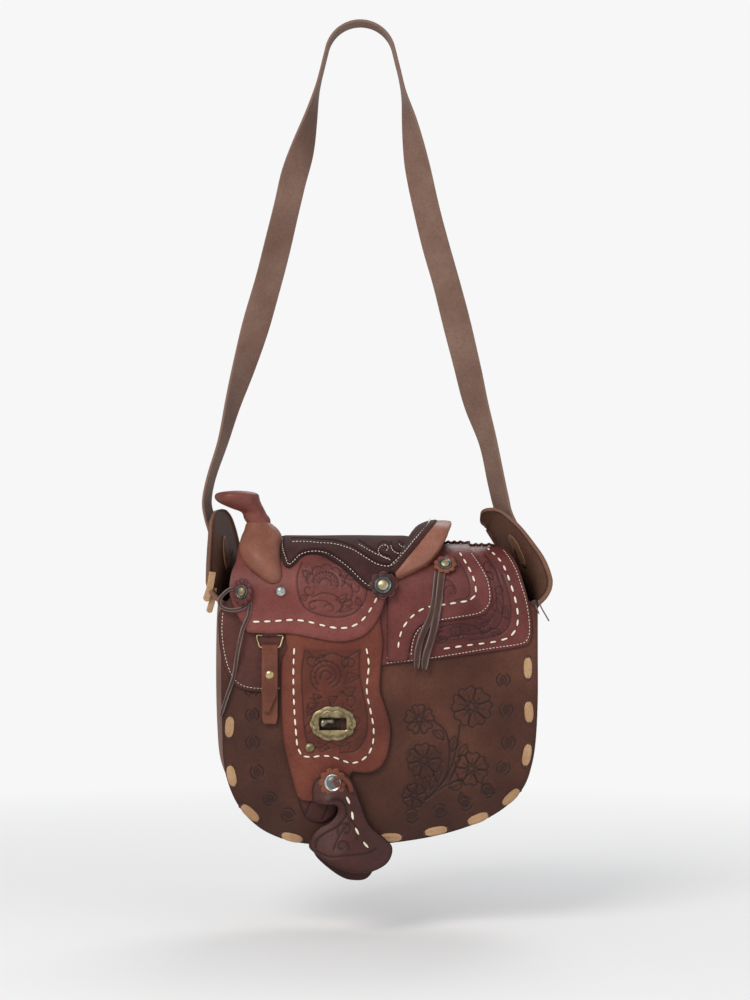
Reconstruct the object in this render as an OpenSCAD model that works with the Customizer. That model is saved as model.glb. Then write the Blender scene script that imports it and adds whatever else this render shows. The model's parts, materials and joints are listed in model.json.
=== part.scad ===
// Western saddle handbag: a U-shaped leather bag whose flap is a small half saddle.
// The origin is the peg that the shoulder strap hangs on: X right, Y to the back, Z up.
// Outlines are read off the front view in picture units and scaled to the body's real size.

/* [Bag body] */
// Width of the front panel, edge to edge
body_w = 285; // [240:1:330]
// Height from the spring line of the flap's arch to the bottom edge
body_h = 224; // [190:1:260]
// Depth over the outer faces of both panels
body_d = 84; // [70:1:100]
// Leather thickness of the two panels
panel_t = 2.4; // [1.5:0.1:3.2]
// Leather thickness of the gusset and its ears
gusset_t = 2.4; // [1.6:0.1:3]
// How far the gusset bulges out at the sides
gusset_bulge = 8.5; // [4:0.5:11]
// Depth of the gusset's turned-in flange
flange_w = 12; // [8:0.5:18]

/* [Strap] */
// Width of the shoulder strap
strap_w = 25; // [18:0.5:30]
// Thickness of the shoulder strap
strap_t = 3; // [2:0.1:3.5]
// Radius of the peg seat at the top of the strap
peg_r = 30; // [26:0.5:33]
// Height of the peg above the spring line
drop_h = 494; // [470:1:530]
// Radius of the lace pin that ties an ear to the strap
tie_r = 2; // [1.5:0.1:2.5]
// Height of the tie pins above the spring line
tie_h = 40.5; // [38:0.5:43]
// Depth position of the tie pins, over the bag's centre of mass
tie_y = -5; // [-12:0.5:2]

/* [Saddle leather] */
// Thickness of the skirts
skirt_t = 2.3; // [1.5:0.1:2.8]
// Thickness of the front and rear jockeys
jockey_t = 2.2; // [1.5:0.1:2.8]
// Thickness of the fender
fender_t = 2.5; // [1.8:0.1:3]
// Thickness of the seat pad
pad_t = 1.4; // [1:0.1:2]
// Thickness of the suede seat cover
seat_t = 1.5; // [1:0.1:2]
// Height of the arch's axis above the spring line
arch_h = 1; // [0:0.5:3]
// How far behind the middle the ridge seam lies
seam_y = 8; // [5:0.5:12]
// Thickness of the swell's leather cover
cover_t = 1.5; // [1:0.1:2.5]
// Radius of the swell's main bulge
swell_r = 21; // [17:0.5:22]
// Radius of the horn cap
horn_r = 21; // [17:0.5:22]
// Thickness of the horn cap's rim
horn_t = 4; // [3:0.5:6]

/* [Lacing] */
// Length of a rawhide stitch on the body's edge
rawhide_l = 20; // [16:0.5:24]
// Width of the rawhide lacing
rawhide_w = 8; // [6:0.5:9]
// Thickness of the rawhide lacing
rawhide_t = 1.3; // [0.8:0.1:2]
// Length of a white saddle stitch
stitch_l = 6.5; // [4:0.5:8]
// Width of a white saddle stitch
stitch_w = 2.2; // [1.2:0.1:3]
// Thickness of a white saddle stitch
stitch_t = 0.7; // [0.4:0.1:1]

/* [Lock and fittings] */
// Width of the lock plate
plate_w = 42; // [36:0.5:46]
// Height of the lock plate
plate_h = 32; // [28:0.5:35]
// Thickness of the lock plate
plate_t = 1.5; // [1:0.1:2]
// Width of the slot in the lock plate
slot_w = 24; // [20:0.5:26]
// Height of the slot in the lock plate
slot_h = 10.5; // [10:0.5:12]
// Length of the turn key's bar
key_l = 12; // [11:0.5:14]
// Height of the turn key's bar
key_h = 3.6; // [3:0.1:4]
// Radius of the turn key's shaft
key_r = 1.6; // [1.2:0.1:1.9]
// Radius of the large scalloped rosettes
rosette_r = 13; // [11:0.5:14]
// Thickness of a rosette
rosette_t = 1.6; // [1:0.1:2]
// Radius of a concho
concho_r = 7; // [6:0.5:8]
// Height of a concho's dome
concho_t = 2.4; // [1.5:0.1:3]
// Wire radius of the dee ring
wire_r = 0.9; // [0.7:0.05:1]
// Half width of the dee ring
dee_r = 11.5; // [10:0.5:13]
// Width of the latigo
latigo_w = 14; // [10:0.5:16]
// Thickness of the latigo and the strings
thong_t = 1.5; // [1:0.1:1.8]
// Width of a saddle string
string_w = 6; // [4:0.5:7]
// Thickness of the stirrup's leather
stirrup_t = 2.2; // [1.6:0.1:2.8]

/* [Hidden] */

// Clearance between leather layers of one body, and between pieces that move apart
seat_gap = 0.1;
move_gap = 0.3;
// Radial clearance of a pin that turns in its hole
pin_gap = 0.07;
// Overrun of a cutting tool
over = 1;
$fn = 48;

// Picture units: the body's width and height, the peg's column and the spring line's row
body_px = [317, 249];
peg_px = 360;
spring_px = 597;
scale_x = body_w / body_px[0];
scale_z = body_h / body_px[1];
// Above the spring line heights follow the arch, whose rise in picture units is rise_px
rise_px = 46.69;
rise_scale = body_d / 2 / rise_px;
function place(p) = [(p[0] - peg_px) * scale_x,
    (spring_px - p[1]) * (p[1] < spring_px ? rise_scale : scale_z)];
function places(list) = [for (p = list) place(p)];

// Layers over the panels: each offset is measured outwards from a panel's outer face
half_d = body_d / 2;
skirt_lo = move_gap;
skirt_hi = skirt_lo + skirt_t;
fender_lo = skirt_hi + move_gap;
fender_hi = fender_lo + fender_t;
tree_lo = skirt_hi + seat_gap;
tree_hi = fender_hi;
jockey_lo = fender_hi + move_gap;
jockey_hi = jockey_lo + jockey_t;
rear_lo = skirt_hi + seat_gap;
rear_hi = rear_lo + jockey_t;
pad_lo = jockey_hi + seat_gap;
pad_hi = pad_lo + pad_t;
seat_lo = pad_hi + seat_gap;
seat_hi = seat_lo + seat_t;
plate_lo = fender_hi + seat_gap;
plate_hi = plate_lo + plate_t;
seam_z = arch_h + sqrt(pow(half_d + skirt_hi, 2) - pow(seam_y, 2));

// A smooth curve through points, closed or open, with n steps for each stretch
function curve(a, b, c, d, t) = ((2 * b) + (c - a) * t + (2 * a - 5 * b + 4 * c - d) * t * t
    + (3 * b - a - 3 * c + d) * t * t * t) / 2;
function ring_curve(p, n) = [for (i = [0:len(p) - 1], k = [0:n - 1])
    curve(p[(i + len(p) - 1) % len(p)], p[i], p[(i + 1) % len(p)], p[(i + 2) % len(p)], k / n)];
function open_curve(p, n) = [for (i = [0:len(p) - 2], k = [0:n - (i < len(p) - 2 ? 1 : 0)])
    curve(p[max(i - 1, 0)], p[i], p[i + 1], p[min(i + 2, len(p) - 1)], k / n)];

// Depth of the arch's surface at a height, at a radius about the arch's axis
function arch_y(z, r) = z > arch_h ? -sqrt(max(r * r - pow(z - arch_h, 2), 0)) : -r;
function arch_n(z, r) = z > arch_h
    ? [0, arch_y(z, r) / r, (z - arch_h) / r] : [0, -1, 0];
function unit(v) = v / norm(v);
function wrap(p, r) = [p[0], arch_y(p[1], r), p[1]];

// A closed solid through rings of equal point count, its ends closed in strips
module skin(rings) {
    n = len(rings[0]);
    m = len(rings);
    walls = [for (r = [0:m - 2], i = [0:n - 1]) each
        let (a = r * n + i, b = r * n + (i + 1) % n, c = b + n, d = a + n)
        [[a, d, c], [a, c, b]]];
    first = [for (i = [0:n / 2 - 2]) each
        [[i, i + 1, n - 2 - i], [i, n - 2 - i, n - 1 - i]]];
    last = [for (f = first) [for (k = [2:-1:0]) f[k] + (m - 1) * n]];
    faces = concat(walls, first, last);
    polyhedron([for (r = rings) each r], faces);
}

// Everything is drawn about the spring line and hangs below the peg
module hang() { translate([0, 0, -drop_h]) children(); }

// A solid drawn in the front view, from one depth to another
module front_view(y_front, y_back) {
    translate([0, y_back, 0]) rotate([90, 0, 0]) linear_extrude(y_back - y_front) children();
}

// The arch over the bag's top, filled to an offset, with its straight sides below
module arch_block(off, low, x_from, x_to) {
    r = half_d + off;
    translate([x_from, 0, 0]) rotate([90, 0, 90]) linear_extrude(x_to - x_from) union() {
        translate([0, arch_h]) circle(r);
        translate([-r, low]) square([2 * r, arch_h - low]);
    }
}

// A leather layer over the arch between two offsets, cut to an outline
module draped(outline, lo, hi, y_to) {
    xs = [for (p = outline) p[0]];
    zs = [for (p = outline) p[1]];
    low = min(zs) - over;
    intersection() {
        difference() {
            arch_block(hi, low, min(xs) - over, max(xs) + over);
            arch_block(lo, low - over, min(xs) - 2 * over, max(xs) + 2 * over);
        }
        front_view(-half_d - hi - over, y_to) polygon(outline);
    }
}

// Lengths along a run of points, and the point at a length
function run(p, i = 0, s = 0) = i == len(p) - 1 ? [s]
    : concat([s], run(p, i + 1, s + norm(p[i + 1] - p[i])));
function at(p, l, s, i = 0) = i >= len(p) - 2 || s <= l[i + 1]
    ? p[i] + (p[i + 1] - p[i]) * (s - l[i]) / (l[i + 1] - l[i]) : at(p, l, s, i + 1);

// Flat stitches along a path on the arch, at equal spacing
module stitches(path, count, off, size, side = 1) {
    r = half_d + off;
    p = [for (q = path) wrap(q, r)];
    l = run(p);
    for (i = [0:count - 1]) {
        s = l[len(l) - 1] * (i + 0.5) / count;
        a = at(p, l, max(s - size[0] / 2, 0));
        b = at(p, l, min(s + size[0] / 2, l[len(l) - 1]));
        m = at(p, l, s);
        n = arch_n(m[2], r);
        along = unit((b - a) - n * ((b - a) * n));
        across = cross(n, along);
        mirror([0, side < 0 ? 1 : 0, 0])
        multmatrix([for (k = [0:2]) [along[k], across[k], n[k], m[k]]])
            translate([-size[0] / 2, -size[1] / 2, seat_gap]) cube(size);
    }
}

// A flat thong that follows the arch's surface along a path
module thong(path, off, width, thick, lift) {
    rings = [for (i = [0:len(path) - 1])
        let (r = half_d + off + lift[i], m = wrap(path[i], r),
             a = wrap(path[max(i - 1, 0)], r), b = wrap(path[min(i + 1, len(path) - 1)], r),
             n = arch_n(path[i][1], r), d = unit((b - a) - n * ((b - a) * n)), w = cross(n, d))
        [m - w * width / 2, m + w * width / 2,
         m + w * width / 2 + n * thick, m - w * width / 2 + n * thick]];
    skin(rings);
}

// Body outline, clockwise from the top left corner, in picture units
body_outline_px = [[221, 601], [221, 640], [221, 690], [222, 730], [223, 758], [227, 780],
    [236, 802], [250, 820], [270, 834], [300, 843], [345, 846], [392, 843], [440, 835],
    [480, 822], [507, 806], [524, 787], [532, 765], [536, 740], [538, 700], [538, 650],
    [538, 601]];
body_outline = places(open_curve(body_outline_px, 3));

module front_panel() color([0.36, 0.2, 0.14]) hang() difference() {
    front_view(-half_d, -half_d + panel_t) polygon(body_outline);
    translate([key_at[0], 0, key_at[1]]) rotate([90, 0, 0])
        cylinder(r = boss_r + pin_gap, h = half_d + over);
}

module back_panel() color([0.36, 0.2, 0.14]) hang()
    front_view(half_d - panel_t, half_d) polygon(body_outline);

// Gusset stations: column, row, half width share, yaw, bulge share and flange share
gusset_stations_shares = [
    [217, 511.5, 0.3, 25, 0, 0], [218, 514, 0.52, 25, 0, 0], [219.5, 522, 0.7, 25, 0, 0],
    [221.5, 536, 0.79, 24, 0, 0], [223, 552, 0.84, 23, 0, 0], [223.5, 567, 0.88, 21, 0, 0],
    [223.5, 582, 0.93, 15, 0.25, 0], [223, 598, 1, 5, 0.7, 0.3], [222.5, 615, 1, 0, 0.9, 1],
    [222.5, 650, 1, 0, 1, 1], [222.5, 690, 1, 0, 1, 1], [223.5, 725, 1, 0, 1, 1],
    [225, 757, 1, 0, 0.9, 1], [229, 778, 1, 0, 0.6, 1], [238, 800, 1, 0, 0.35, 1],
    [252, 818, 1, 0, 0.2, 1], [271, 832, 1, 0, 0.12, 1], [300, 841, 1, 0, 0.1, 1],
    [345, 844, 1, 0, 0.1, 1], [392, 841, 1, 0, 0.1, 1], [440, 833, 1, 0, 0.1, 1],
    [479, 820, 1, 0, 0.12, 1], [505, 804, 1, 0, 0.2, 1], [522, 786, 1, 0, 0.25, 1],
    [530, 765, 1, 0, 0.3, 1], [534, 740, 1, 0, 0.35, 1], [536, 700, 1, 0, 0.4, 1],
    [536.5, 650, 1, 0, 0.4, 1], [536.5, 616, 1, 0, 0.4, 1], [536, 600, 1, 5, 0.35, 0.3],
    [534, 584, 0.93, 15, 0.15, 0], [529, 567, 0.85, 22, 0, 0], [521.5, 551, 0.77, 24, 0, 0],
    [513.5, 537, 0.66, 28, 0, 0], [506, 527, 0.54, 33, 0, 0], [497.5, 520, 0.4, 38, 0, 0],
    [490, 517, 0.26, 42, 0, 0], [486, 516, 0.14, 44, 0, 0]];
gusset_h = half_d - panel_t - seat_gap;
lip_share = 0.6;
round_share = 0.5;
web_steps = 6;
function section(h, bulge, flange) =
    let (t = gusset_t, c = t * round_share, e = t + c / 4)
    let (out = concat([[-flange, -h], [-c, -h], [0, -h + c]],
            [for (k = [1:web_steps - 1]) [bulge * sin(180 * k / web_steps),
                (h - c) * (2 * k / web_steps - 1)]], [[0, h - c], [-c, h], [-flange, h]]))
    let (inn = concat([[-flange, -h + t], [-e, -h + t], [-t, -h + e]],
            [for (k = [1:web_steps - 1]) [bulge * sin(180 * k / web_steps) - t,
                (h - e) * (2 * k / web_steps - 1)]], [[-t, h - e], [-e, h - t], [-flange, h - t]]))
    concat(out, [for (i = [len(inn) - 1:-1:0]) inn[i]]);
gusset_st = open_curve(gusset_stations_shares, 2);
gusset_xz = [for (s = gusset_st) place([s[0], s[1]])];
lip = gusset_t * (1 + lip_share);
function on_gusset(i, q) = let (last = len(gusset_xz) - 1, yaw = max(gusset_st[i][3], 0),
        t = unit(gusset_xz[min(i + 1, last)] - gusset_xz[max(i - 1, 0)]),
        a = q[0] * cos(yaw) - q[1] * sin(yaw), y = q[0] * sin(yaw) + q[1] * cos(yaw))
    [gusset_xz[i][0] + t[1] * a, y, gusset_xz[i][1] - t[0] * a];
module side_gusset() color([0.42, 0.25, 0.18]) hang() difference() {
    skin([for (i = [0:len(gusset_st) - 1]) let (s = gusset_st[i])
        [for (q = section(gusset_h * min(s[2], 1), gusset_bulge * max(s[4], 0),
                lip + (flange_w - lip) * min(max(s[5], 0), 1))) on_gusset(i, q)]]);
    for (x = [tie_left[0], tie_right[0]])
        translate([x, tie_y, tie_h]) rotate([0, 90, 0])
            cylinder(r = tie_r + pin_gap, h = 2 * tie_reach, center = true);
}

// Shoulder strap: stations give column, row and yaw of the strap's width
left_leg_px = [[292, 170, 12], [285, 200, 6], [270, 262, 4], [258, 305, 8], [242, 360, 35],
    [230, 400, 60], [219.5, 440, 74], [208, 475, 79], [203.2, 500, 78], [206, 517, 74],
    [212, 535, 71], [216.5, 549, 68], [218, 560, 68], [218.5, 570, 68]];
right_leg_px = [[418, 160, 30], [427, 200, 8], [437, 240, 2], [450, 286, 4], [468, 358, 10],
    [478, 400, 30], [490.5, 440, 52], [499, 480, 56], [503.5, 500, 57], [506.5, 511, 60],
    [511.5, 522, 62], [518.5, 534, 64], [526, 547, 66], [530.5, 557, 67], [533.5, 567, 68]];
// Where each leg leaves the peg, as an angle from straight up
arc_r = peg_r + strap_t / 2;
wrap_a = 76;
function leg_start(side) = [for (k = [0, 1, 2])
    let (p = [side * arc_r * sin(wrap_a), drop_h + arc_r * cos(wrap_a)],
         d = [side * cos(wrap_a), -sin(wrap_a)] * strap_w * k / 2)
    [p[0] + d[0], p[1] + d[1], 90]];
function leg_points(list, side) = concat(leg_start(side),
    [for (q = list) let (p = place([q[0], q[1]])) [p[0], p[1], q[2]]]);
module strap_leg(list, side) {
    path = open_curve(leg_points(list, side), 4);
    rings = [for (i = [0:len(path) - 1])
        let (a = path[max(i - 1, 0)], b = path[min(i + 1, len(path) - 1)],
             t3 = i == 0 ? [side * cos(wrap_a), 0, -sin(wrap_a)]
                : unit([b[0] - a[0], 0, b[1] - a[1]]),
             yaw = path[i][2], n3 = [-t3[2], 0, t3[0]] * side,
             w = n3 * cos(yaw) + [0, -1, 0] * sin(yaw),
             f = cross(t3, w), c = [path[i][0], 0, path[i][1]])
        [c - w * strap_w / 2 - f * strap_t / 2, c + w * strap_w / 2 - f * strap_t / 2,
         c + w * strap_w / 2 + f * strap_t / 2, c - w * strap_w / 2 + f * strap_t / 2]];
    skin(rings);
}
module shoulder_strap() color([0.45, 0.32, 0.25]) hang() difference() {
    union() {
        translate([0, 0, drop_h]) rotate([90, 0, 0]) rotate([0, 0, 90 - wrap_a])
            translate([0, 0, -strap_w / 2]) rotate_extrude(angle = 2 * wrap_a)
                translate([peg_r, 0]) square([strap_t, strap_w]);
        strap_leg(left_leg_px, -1);
        strap_leg(right_leg_px, 1);
    }
    for (x = [tie_left[0], tie_right[0]])
        translate([x, tie_y, tie_h]) rotate([0, 90, 0])
            cylinder(r = tie_r + pin_gap, h = 2 * tie_reach, center = true);
}

// Lace pins through ears and strap ends, knotted on both sides
tie_left_px = [220.5, 552];
tie_right_px = [525, 552];
tie_left = place(tie_left_px);
tie_right = place(tie_right_px);
tie_reach = 12;
tie_inner = 8;
tie_outer = 8.5;
knot_share = 1.6;
knot_r = tie_r * knot_share;
module tie_pin(x, inner, outer, side) {
    translate([x, tie_y, tie_h]) rotate([0, side * 90, 0]) {
        translate([0, 0, -inner]) cylinder(r = tie_r, h = inner + outer);
        translate([0, 0, outer]) cylinder(r1 = knot_r, r2 = tie_r, h = tie_r);
        translate([0, 0, -inner - tie_r / 2]) cylinder(r = knot_r, h = tie_r / 2);
    }
}
module strap_tie_left() color([0.55, 0.42, 0.3]) hang()
    tie_pin(tie_left[0], tie_inner, tie_outer, -1);
module strap_tie_right() color([0.55, 0.42, 0.3]) hang()
    tie_pin(tie_right[0], tie_inner + over, tie_outer + 2 * over, 1);

// Leather tongues that lie on the ears' inner faces under the pins
tongue_w = 15;
tongue_shares = [0.2, 0.75, 1, 0.8, 0.25];
module tongue(from) difference() {
    skin([for (k = [0:4]) let (w = tongue_w / 2 * tongue_shares[k], near = gusset_t + seat_gap)
        [for (q = [[-near, -w], [-near, w], [-near - thong_t, w], [-near - thong_t, -w]])
            on_gusset(from + k, [q[0], q[1] + tie_y])]]);
    for (x = [tie_left[0], tie_right[0]])
        translate([x, tie_y, tie_h]) rotate([0, 90, 0])
            cylinder(r = tie_r + seat_gap, h = 2 * tie_reach, center = true);
}
// First gusset station of each tongue
tongue_from = [6, 62];
module strap_tongue_left() color([0.42, 0.25, 0.17]) hang() tongue(tongue_from[0]);
module strap_tongue_right() color([0.42, 0.25, 0.17]) hang() tongue(tongue_from[1]);

// The lacing's loose ends at the foot of each ear: top, bottom, width and depth
lace_tip_share = 0.35;
lace_depths_shares = [1.8, 4.8];
module lace_end(path_px, y, width) {
    p = places(path_px);
    rings = [for (i = [0:len(p) - 1])
        let (t = unit(p[min(i + 1, len(p) - 1)] - p[max(i - 1, 0)]), n = [t[1], -t[0]],
             w = width * (i == len(p) - 1 ? lace_tip_share : 1) / 2)
        [[p[i][0] - n[0] * w, y, p[i][1] - n[1] * w], [p[i][0] + n[0] * w, y, p[i][1] + n[1] * w],
         [p[i][0] + n[0] * w, y + thong_t, p[i][1] + n[1] * w],
         [p[i][0] - n[0] * w, y + thong_t, p[i][1] - n[1] * w]]];
    skin(rings);
}
lace_y = -half_d + panel_t;
lace_end_w = 5;
lace_tail_w = 2;
left_ends_px = [[[211, 574], [209, 590], [205.5, 597], [204.5, 600]],
    [[212, 592], [211, 602], [209, 609], [208, 612]]];
right_ends_px = [[[538.5, 600], [541, 607], [545, 614], [549, 621]],
    [[534.5, 600], [536, 606], [538, 611], [539, 614]]];
right_knot_px = [535, 603];
module lace_ends_left() color([0.6, 0.38, 0.22]) hang() {
    for (i = [0, 1])
        lace_end(left_ends_px[i], lace_y + lace_depths_shares[i] * thong_t, lace_end_w);
}
end_y = -half_d - seat_gap - thong_t;
module lace_ends_right() color([0.3, 0.22, 0.17]) hang() {
    for (path_px = right_ends_px) lace_end(path_px, end_y, lace_tail_w);
    translate([place(right_knot_px)[0], end_y - seat_gap, place(right_knot_px)[1]])
        rotate([90, 0, 0]) cylinder(r = lace_tail_w, h = lace_tail_w / 2);
}

// Rawhide stitches that hold the panels to the gusset: column, row and lean
front_stitches_px = [[229.5, 727, 88], [231.5, 776, 105], [250, 813, 140], [292, 837.5, 167],
    [341, 841, 178], [391, 837.5, 183], [436, 831, 194], [478, 818.5, 200], [511, 797, 222],
    [527, 755, 262], [529, 712, 272], [528, 668, 274]];
back_stitches_px = concat(front_stitches_px, [[230.5, 680, 90]]);
// The stirrup hides the front edge between these columns, which has no stitch there
bare_from_px = 300;
bare_to_px = 380;
round_power = 0.5;
module rawhide_row(list, side) {
    for (q = list) {
        p = place(q);
        translate([p[0], side * (half_d + seat_gap), p[1]]) rotate([0, -q[2], 0])
            rotate([side * 90, 0, 0]) mirror([0, 0, 1]) linear_extrude(rawhide_t) polygon([
                for (a = [15:30:345]) [rawhide_l / 2 * sign(cos(a)) * pow(abs(cos(a)), round_power),
                    rawhide_w / 2 * sign(sin(a)) * pow(abs(sin(a)), round_power)]]);
    }
}
module front_lacing() color([0.72, 0.56, 0.4]) hang()
    rawhide_row([for (q = front_stitches_px) if (q[0] < bare_from_px || q[0] > bare_to_px) q], -1);
module back_lacing() color([0.72, 0.56, 0.4]) hang() rawhide_row(back_stitches_px, 1);

// Skirts: the flap's lowest layer, cut along the ridge seam
skirt_px = [[291, 532], [497, 532], [498, 548], [502, 557], [509, 567], [518, 580], [526, 594],
    [531.5, 612], [535, 630], [533.5, 642], [526, 647], [500, 651], [460, 656], [420, 661],
    [385, 665], [340, 668], [291, 668]];
front_skirt_px = [[241, 532], [240, 568], [236, 588], [227, 601], [219, 613], [218.5, 632],
    [221, 655], [227, 674], [236, 686], [250, 691], [270, 692], [290.7, 690], [290.7, 532]];
seam_cut = seam_y - 2 * seat_gap;
module skirt() color([0.45, 0.22, 0.2]) hang()
    draped(places(skirt_px), skirt_lo, skirt_hi, seam_cut);
module front_skirt() color([0.45, 0.22, 0.2]) hang()
    draped(places(front_skirt_px), skirt_lo, skirt_hi, seam_cut);

// The matching skirt on the bag's back, laced to the ridge and the back panel
back_skirt_px = [[241, 532], [240, 568], [234, 592], [227, 612], [224, 632], [226, 646],
    [234, 655], [290, 660], [380, 662], [470, 660], [522, 655], [530, 646], [533, 632],
    [528, 612], [518, 592], [506, 568], [498, 548], [497, 532]];
module back_skirt() color([0.42, 0.21, 0.18]) hang() mirror([0, 1, 0])
    draped(places(back_skirt_px), seat_gap, seat_gap + skirt_t, -seam_y - 2 * seat_gap);

// Stiff tree under the seat and jockey, with the fender's root let into it
tree_px = [[244, 532], [243, 568], [238, 588], [243, 608], [252, 626], [284, 626], [284, 604],
    [378, 604], [381.5, 590], [384, 575], [384, 532]];
fender_root_px = [[285, 605], [285, 642.3], [382, 642.3], [381, 624], [378.5, 605]];
module saddle_tree() color([0.6, 0.5, 0.38]) hang() difference() {
    draped(places(tree_px), tree_lo, tree_hi, seam_cut);
    dee_room();
}
module fender_root() color([0.43, 0.22, 0.17]) hang() difference() {
    draped(places(fender_root_px), tree_lo, tree_hi, seam_cut);
    dee_room();
}

jockey_px = [[238, 532], [236, 558], [231.5, 572], [229.5, 590], [234, 607], [241, 621],
    [248, 632.5], [268, 633.5], [290, 633.5], [312, 637.5], [335, 641.5], [352, 640],
    [367, 633], [379, 617], [385, 600], [388, 588], [392, 577], [398, 567], [405, 556],
    [412, 546], [417, 532]];
module front_jockey() color([0.48, 0.24, 0.22]) hang()
    draped(places(jockey_px), jockey_lo, jockey_hi, seam_cut);
rear_jockey_px = [[387.5, 532], [387.5, 661], [398, 661.5], [409, 660], [412, 648], [420, 633],
    [437, 623], [478, 620], [489, 611], [491, 596], [486, 578], [477, 561], [470, 549],
    [468, 532]];
module rear_jockey() color([0.46, 0.23, 0.21]) hang()
    draped(places(rear_jockey_px), rear_lo, rear_hi, seam_cut);

// White saddle stitches: paths in picture units
skirt_row_px = [[490, 549], [497, 556], [504, 566], [512, 582], [517.5, 598], [519.5, 620],
    [516, 637], [508, 642], [480, 648], [441, 654]];
rear_row_px = [[460, 553], [468, 564], [475, 581], [476, 598], [466, 603], [442, 606],
    [428, 612], [411, 627], [402, 645], [399, 656]];
jockey_row_px = [[251, 621.5], [272, 621], [297, 619.5], [315, 623], [337, 628], [356, 625],
    [369, 612], [378, 595]];
stitch_size = [stitch_l, stitch_w, stitch_t];
module skirt_lacing() color([0.93, 0.9, 0.82]) hang()
    stitches(open_curve(places(skirt_row_px), 4), 17, skirt_hi, stitch_size);
module rear_jockey_lacing() color([0.93, 0.9, 0.82]) hang()
    stitches(open_curve(places(rear_row_px), 4), 13, rear_hi, stitch_size);
module front_jockey_lacing() color([0.93, 0.9, 0.82]) hang()
    stitches(open_curve(places(jockey_row_px), 4), 12, jockey_hi, stitch_size);

// Whip stitches over the ridge seam, behind the cantle
ridge_from_px = 458;
ridge_to_px = 495;
ridge_count = 8;
whip_t = 2;
jockey_end_px = 475;
jockey_end = place([jockey_end_px, 0])[0];
module ridge_lacing() color([0.2, 0.15, 0.12]) hang() for (i = [0:ridge_count - 1]) {
    x = place([ridge_from_px + (ridge_to_px - ridge_from_px) * i / (ridge_count - 1), 0])[0];
    r = half_d + (x > jockey_end ? skirt_hi : rear_hi) + seat_gap;
    translate([x - whip_t / 2, 0, arch_h]) rotate([90, 0, 90]) linear_extrude(whip_t)
        difference() {
            intersection() {
                circle(r + whip_t);
                translate([-seam_y / 2, 0]) square([1.5 * seam_y - 2 * seat_gap, 2 * r]);
            }
            circle(r);
        }
}

// Seat: a thin pad and a suede cover, rising to the cantle
seat_px = [[277, 532], [277, 545], [283, 557], [290, 566.5], [300, 557], [311, 552],
    [325, 552.5], [345, 565], [362, 577], [378, 587], [385, 583], [389, 574], [395, 565],
    [402, 555], [409, 545], [414, 532]];
pad_px = [[282, 532], [283, 545], [290, 557.5], [299, 549], [313, 545], [327, 546], [347, 558],
    [370, 571], [382, 577], [385, 573], [391, 564], [398, 552], [404, 541], [406, 532]];
pad_room_px = [[280, 534], [281, 546], [290, 560.5], [300, 551], [313, 547], [327, 548],
    [347, 560], [370, 573], [382, 580], [386, 573], [393, 564], [400, 552], [406, 541],
    [408, 520], [340, 500]];
module seat_pad() color([0.75, 0.7, 0.6]) hang()
    draped(places(pad_px), pad_lo, pad_hi, seam_cut);
module seat_cover() color([0.26, 0.16, 0.15]) hang() difference() {
    draped(places(seat_px), pad_lo, seat_hi, seam_cut);
    draped(places(pad_room_px), pad_lo - over, pad_hi + seat_gap, seam_y);
}

// Cantle: stations of the rim's inner edge, its outer edge, the foot's outer edge and its width
cantle_stations_px = [[[394.5, 572], [397.5, 577.5], [398.5, 579], 2.5],
    [[404, 558.5], [418, 567.5], [416, 569.5], 7], [[414, 543.5], [434, 554.5], [430, 561], 8],
    [[423, 530], [446, 537.5], [439, 551], 8], [[428, 523], [450.5, 529], [443, 543], 8],
    [[431, 519.5], [453.5, 521], [446, 540], 8], [[432, 519], [454, 520], [447, 540], 8]];
// Shares of the seat's and the arch's sizes: how far the rim leans, and how deep it runs back
cantle_leans_shares = [0.35, 0.55, 0.7, 1, 0.75, 0.25, 0];
cantle_lean = 4;
rim_share = 1.4;
cantle_back_y = [-15, -3, seam_cut];
cantle_arch = 4;
cantle_r = half_d + rear_hi + over / 2;
module cantle() color([0.62, 0.38, 0.26]) hang()
    skin([for (i = [0:len(cantle_stations_px) - 1])
        let (s = cantle_stations_px[i], a = place(s[0]), b = place(s[1]), c = place(s[2]),
             on_front = i < cantle_arch,
             y = on_front ? arch_y(c[1], cantle_r) : cantle_back_y[i - cantle_arch],
             z = on_front ? c[1] : arch_h + sqrt(cantle_r * cantle_r - y * y),
             lean = cantle_lean * cantle_leans_shares[i])
        [[a[0], y - lean, a[1]], [b[0], y - lean * rim_share, b[1]], [c[0], y, z],
         [c[0] - s[3] * scale_x, y, z]]]);

// Swell: a wooden fork in a leather cover that opens onto the jockey
swell_places_px = [[261.5, 556], [263, 541], [269, 573]];
swell_depths_shares = [0.7, 0.36, 0.98];
swell_radii_shares = [1, 0.62, 0.6];
module swell_form(inset) hull() for (i = [0:2]) {
    p = place(swell_places_px[i]);
    translate([p[0], -half_d * swell_depths_shares[i], p[1]])
        sphere(r = swell_r * swell_radii_shares[i] - inset, $fn = 32);
}
foot_px = [230, 276, 300];
swell_from = place([foot_px[0], 0])[0];
seat_from = place([foot_px[1], 0])[0];
swell_to = place([foot_px[2], 0])[0];
module swell_foot() {
    arch_block(jockey_hi + seat_gap, -over, swell_from, swell_to);
    arch_block(seat_hi + seat_gap, -over, seat_from, swell_to);
}
module swell_core() color([0.7, 0.55, 0.38]) hang() difference() {
    swell_form(cover_t + seat_gap);
    swell_foot();
}
module swell_cover() color([0.52, 0.31, 0.24]) hang() difference() {
    swell_form(0);
    swell_form(cover_t);
    swell_foot();
}

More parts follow.
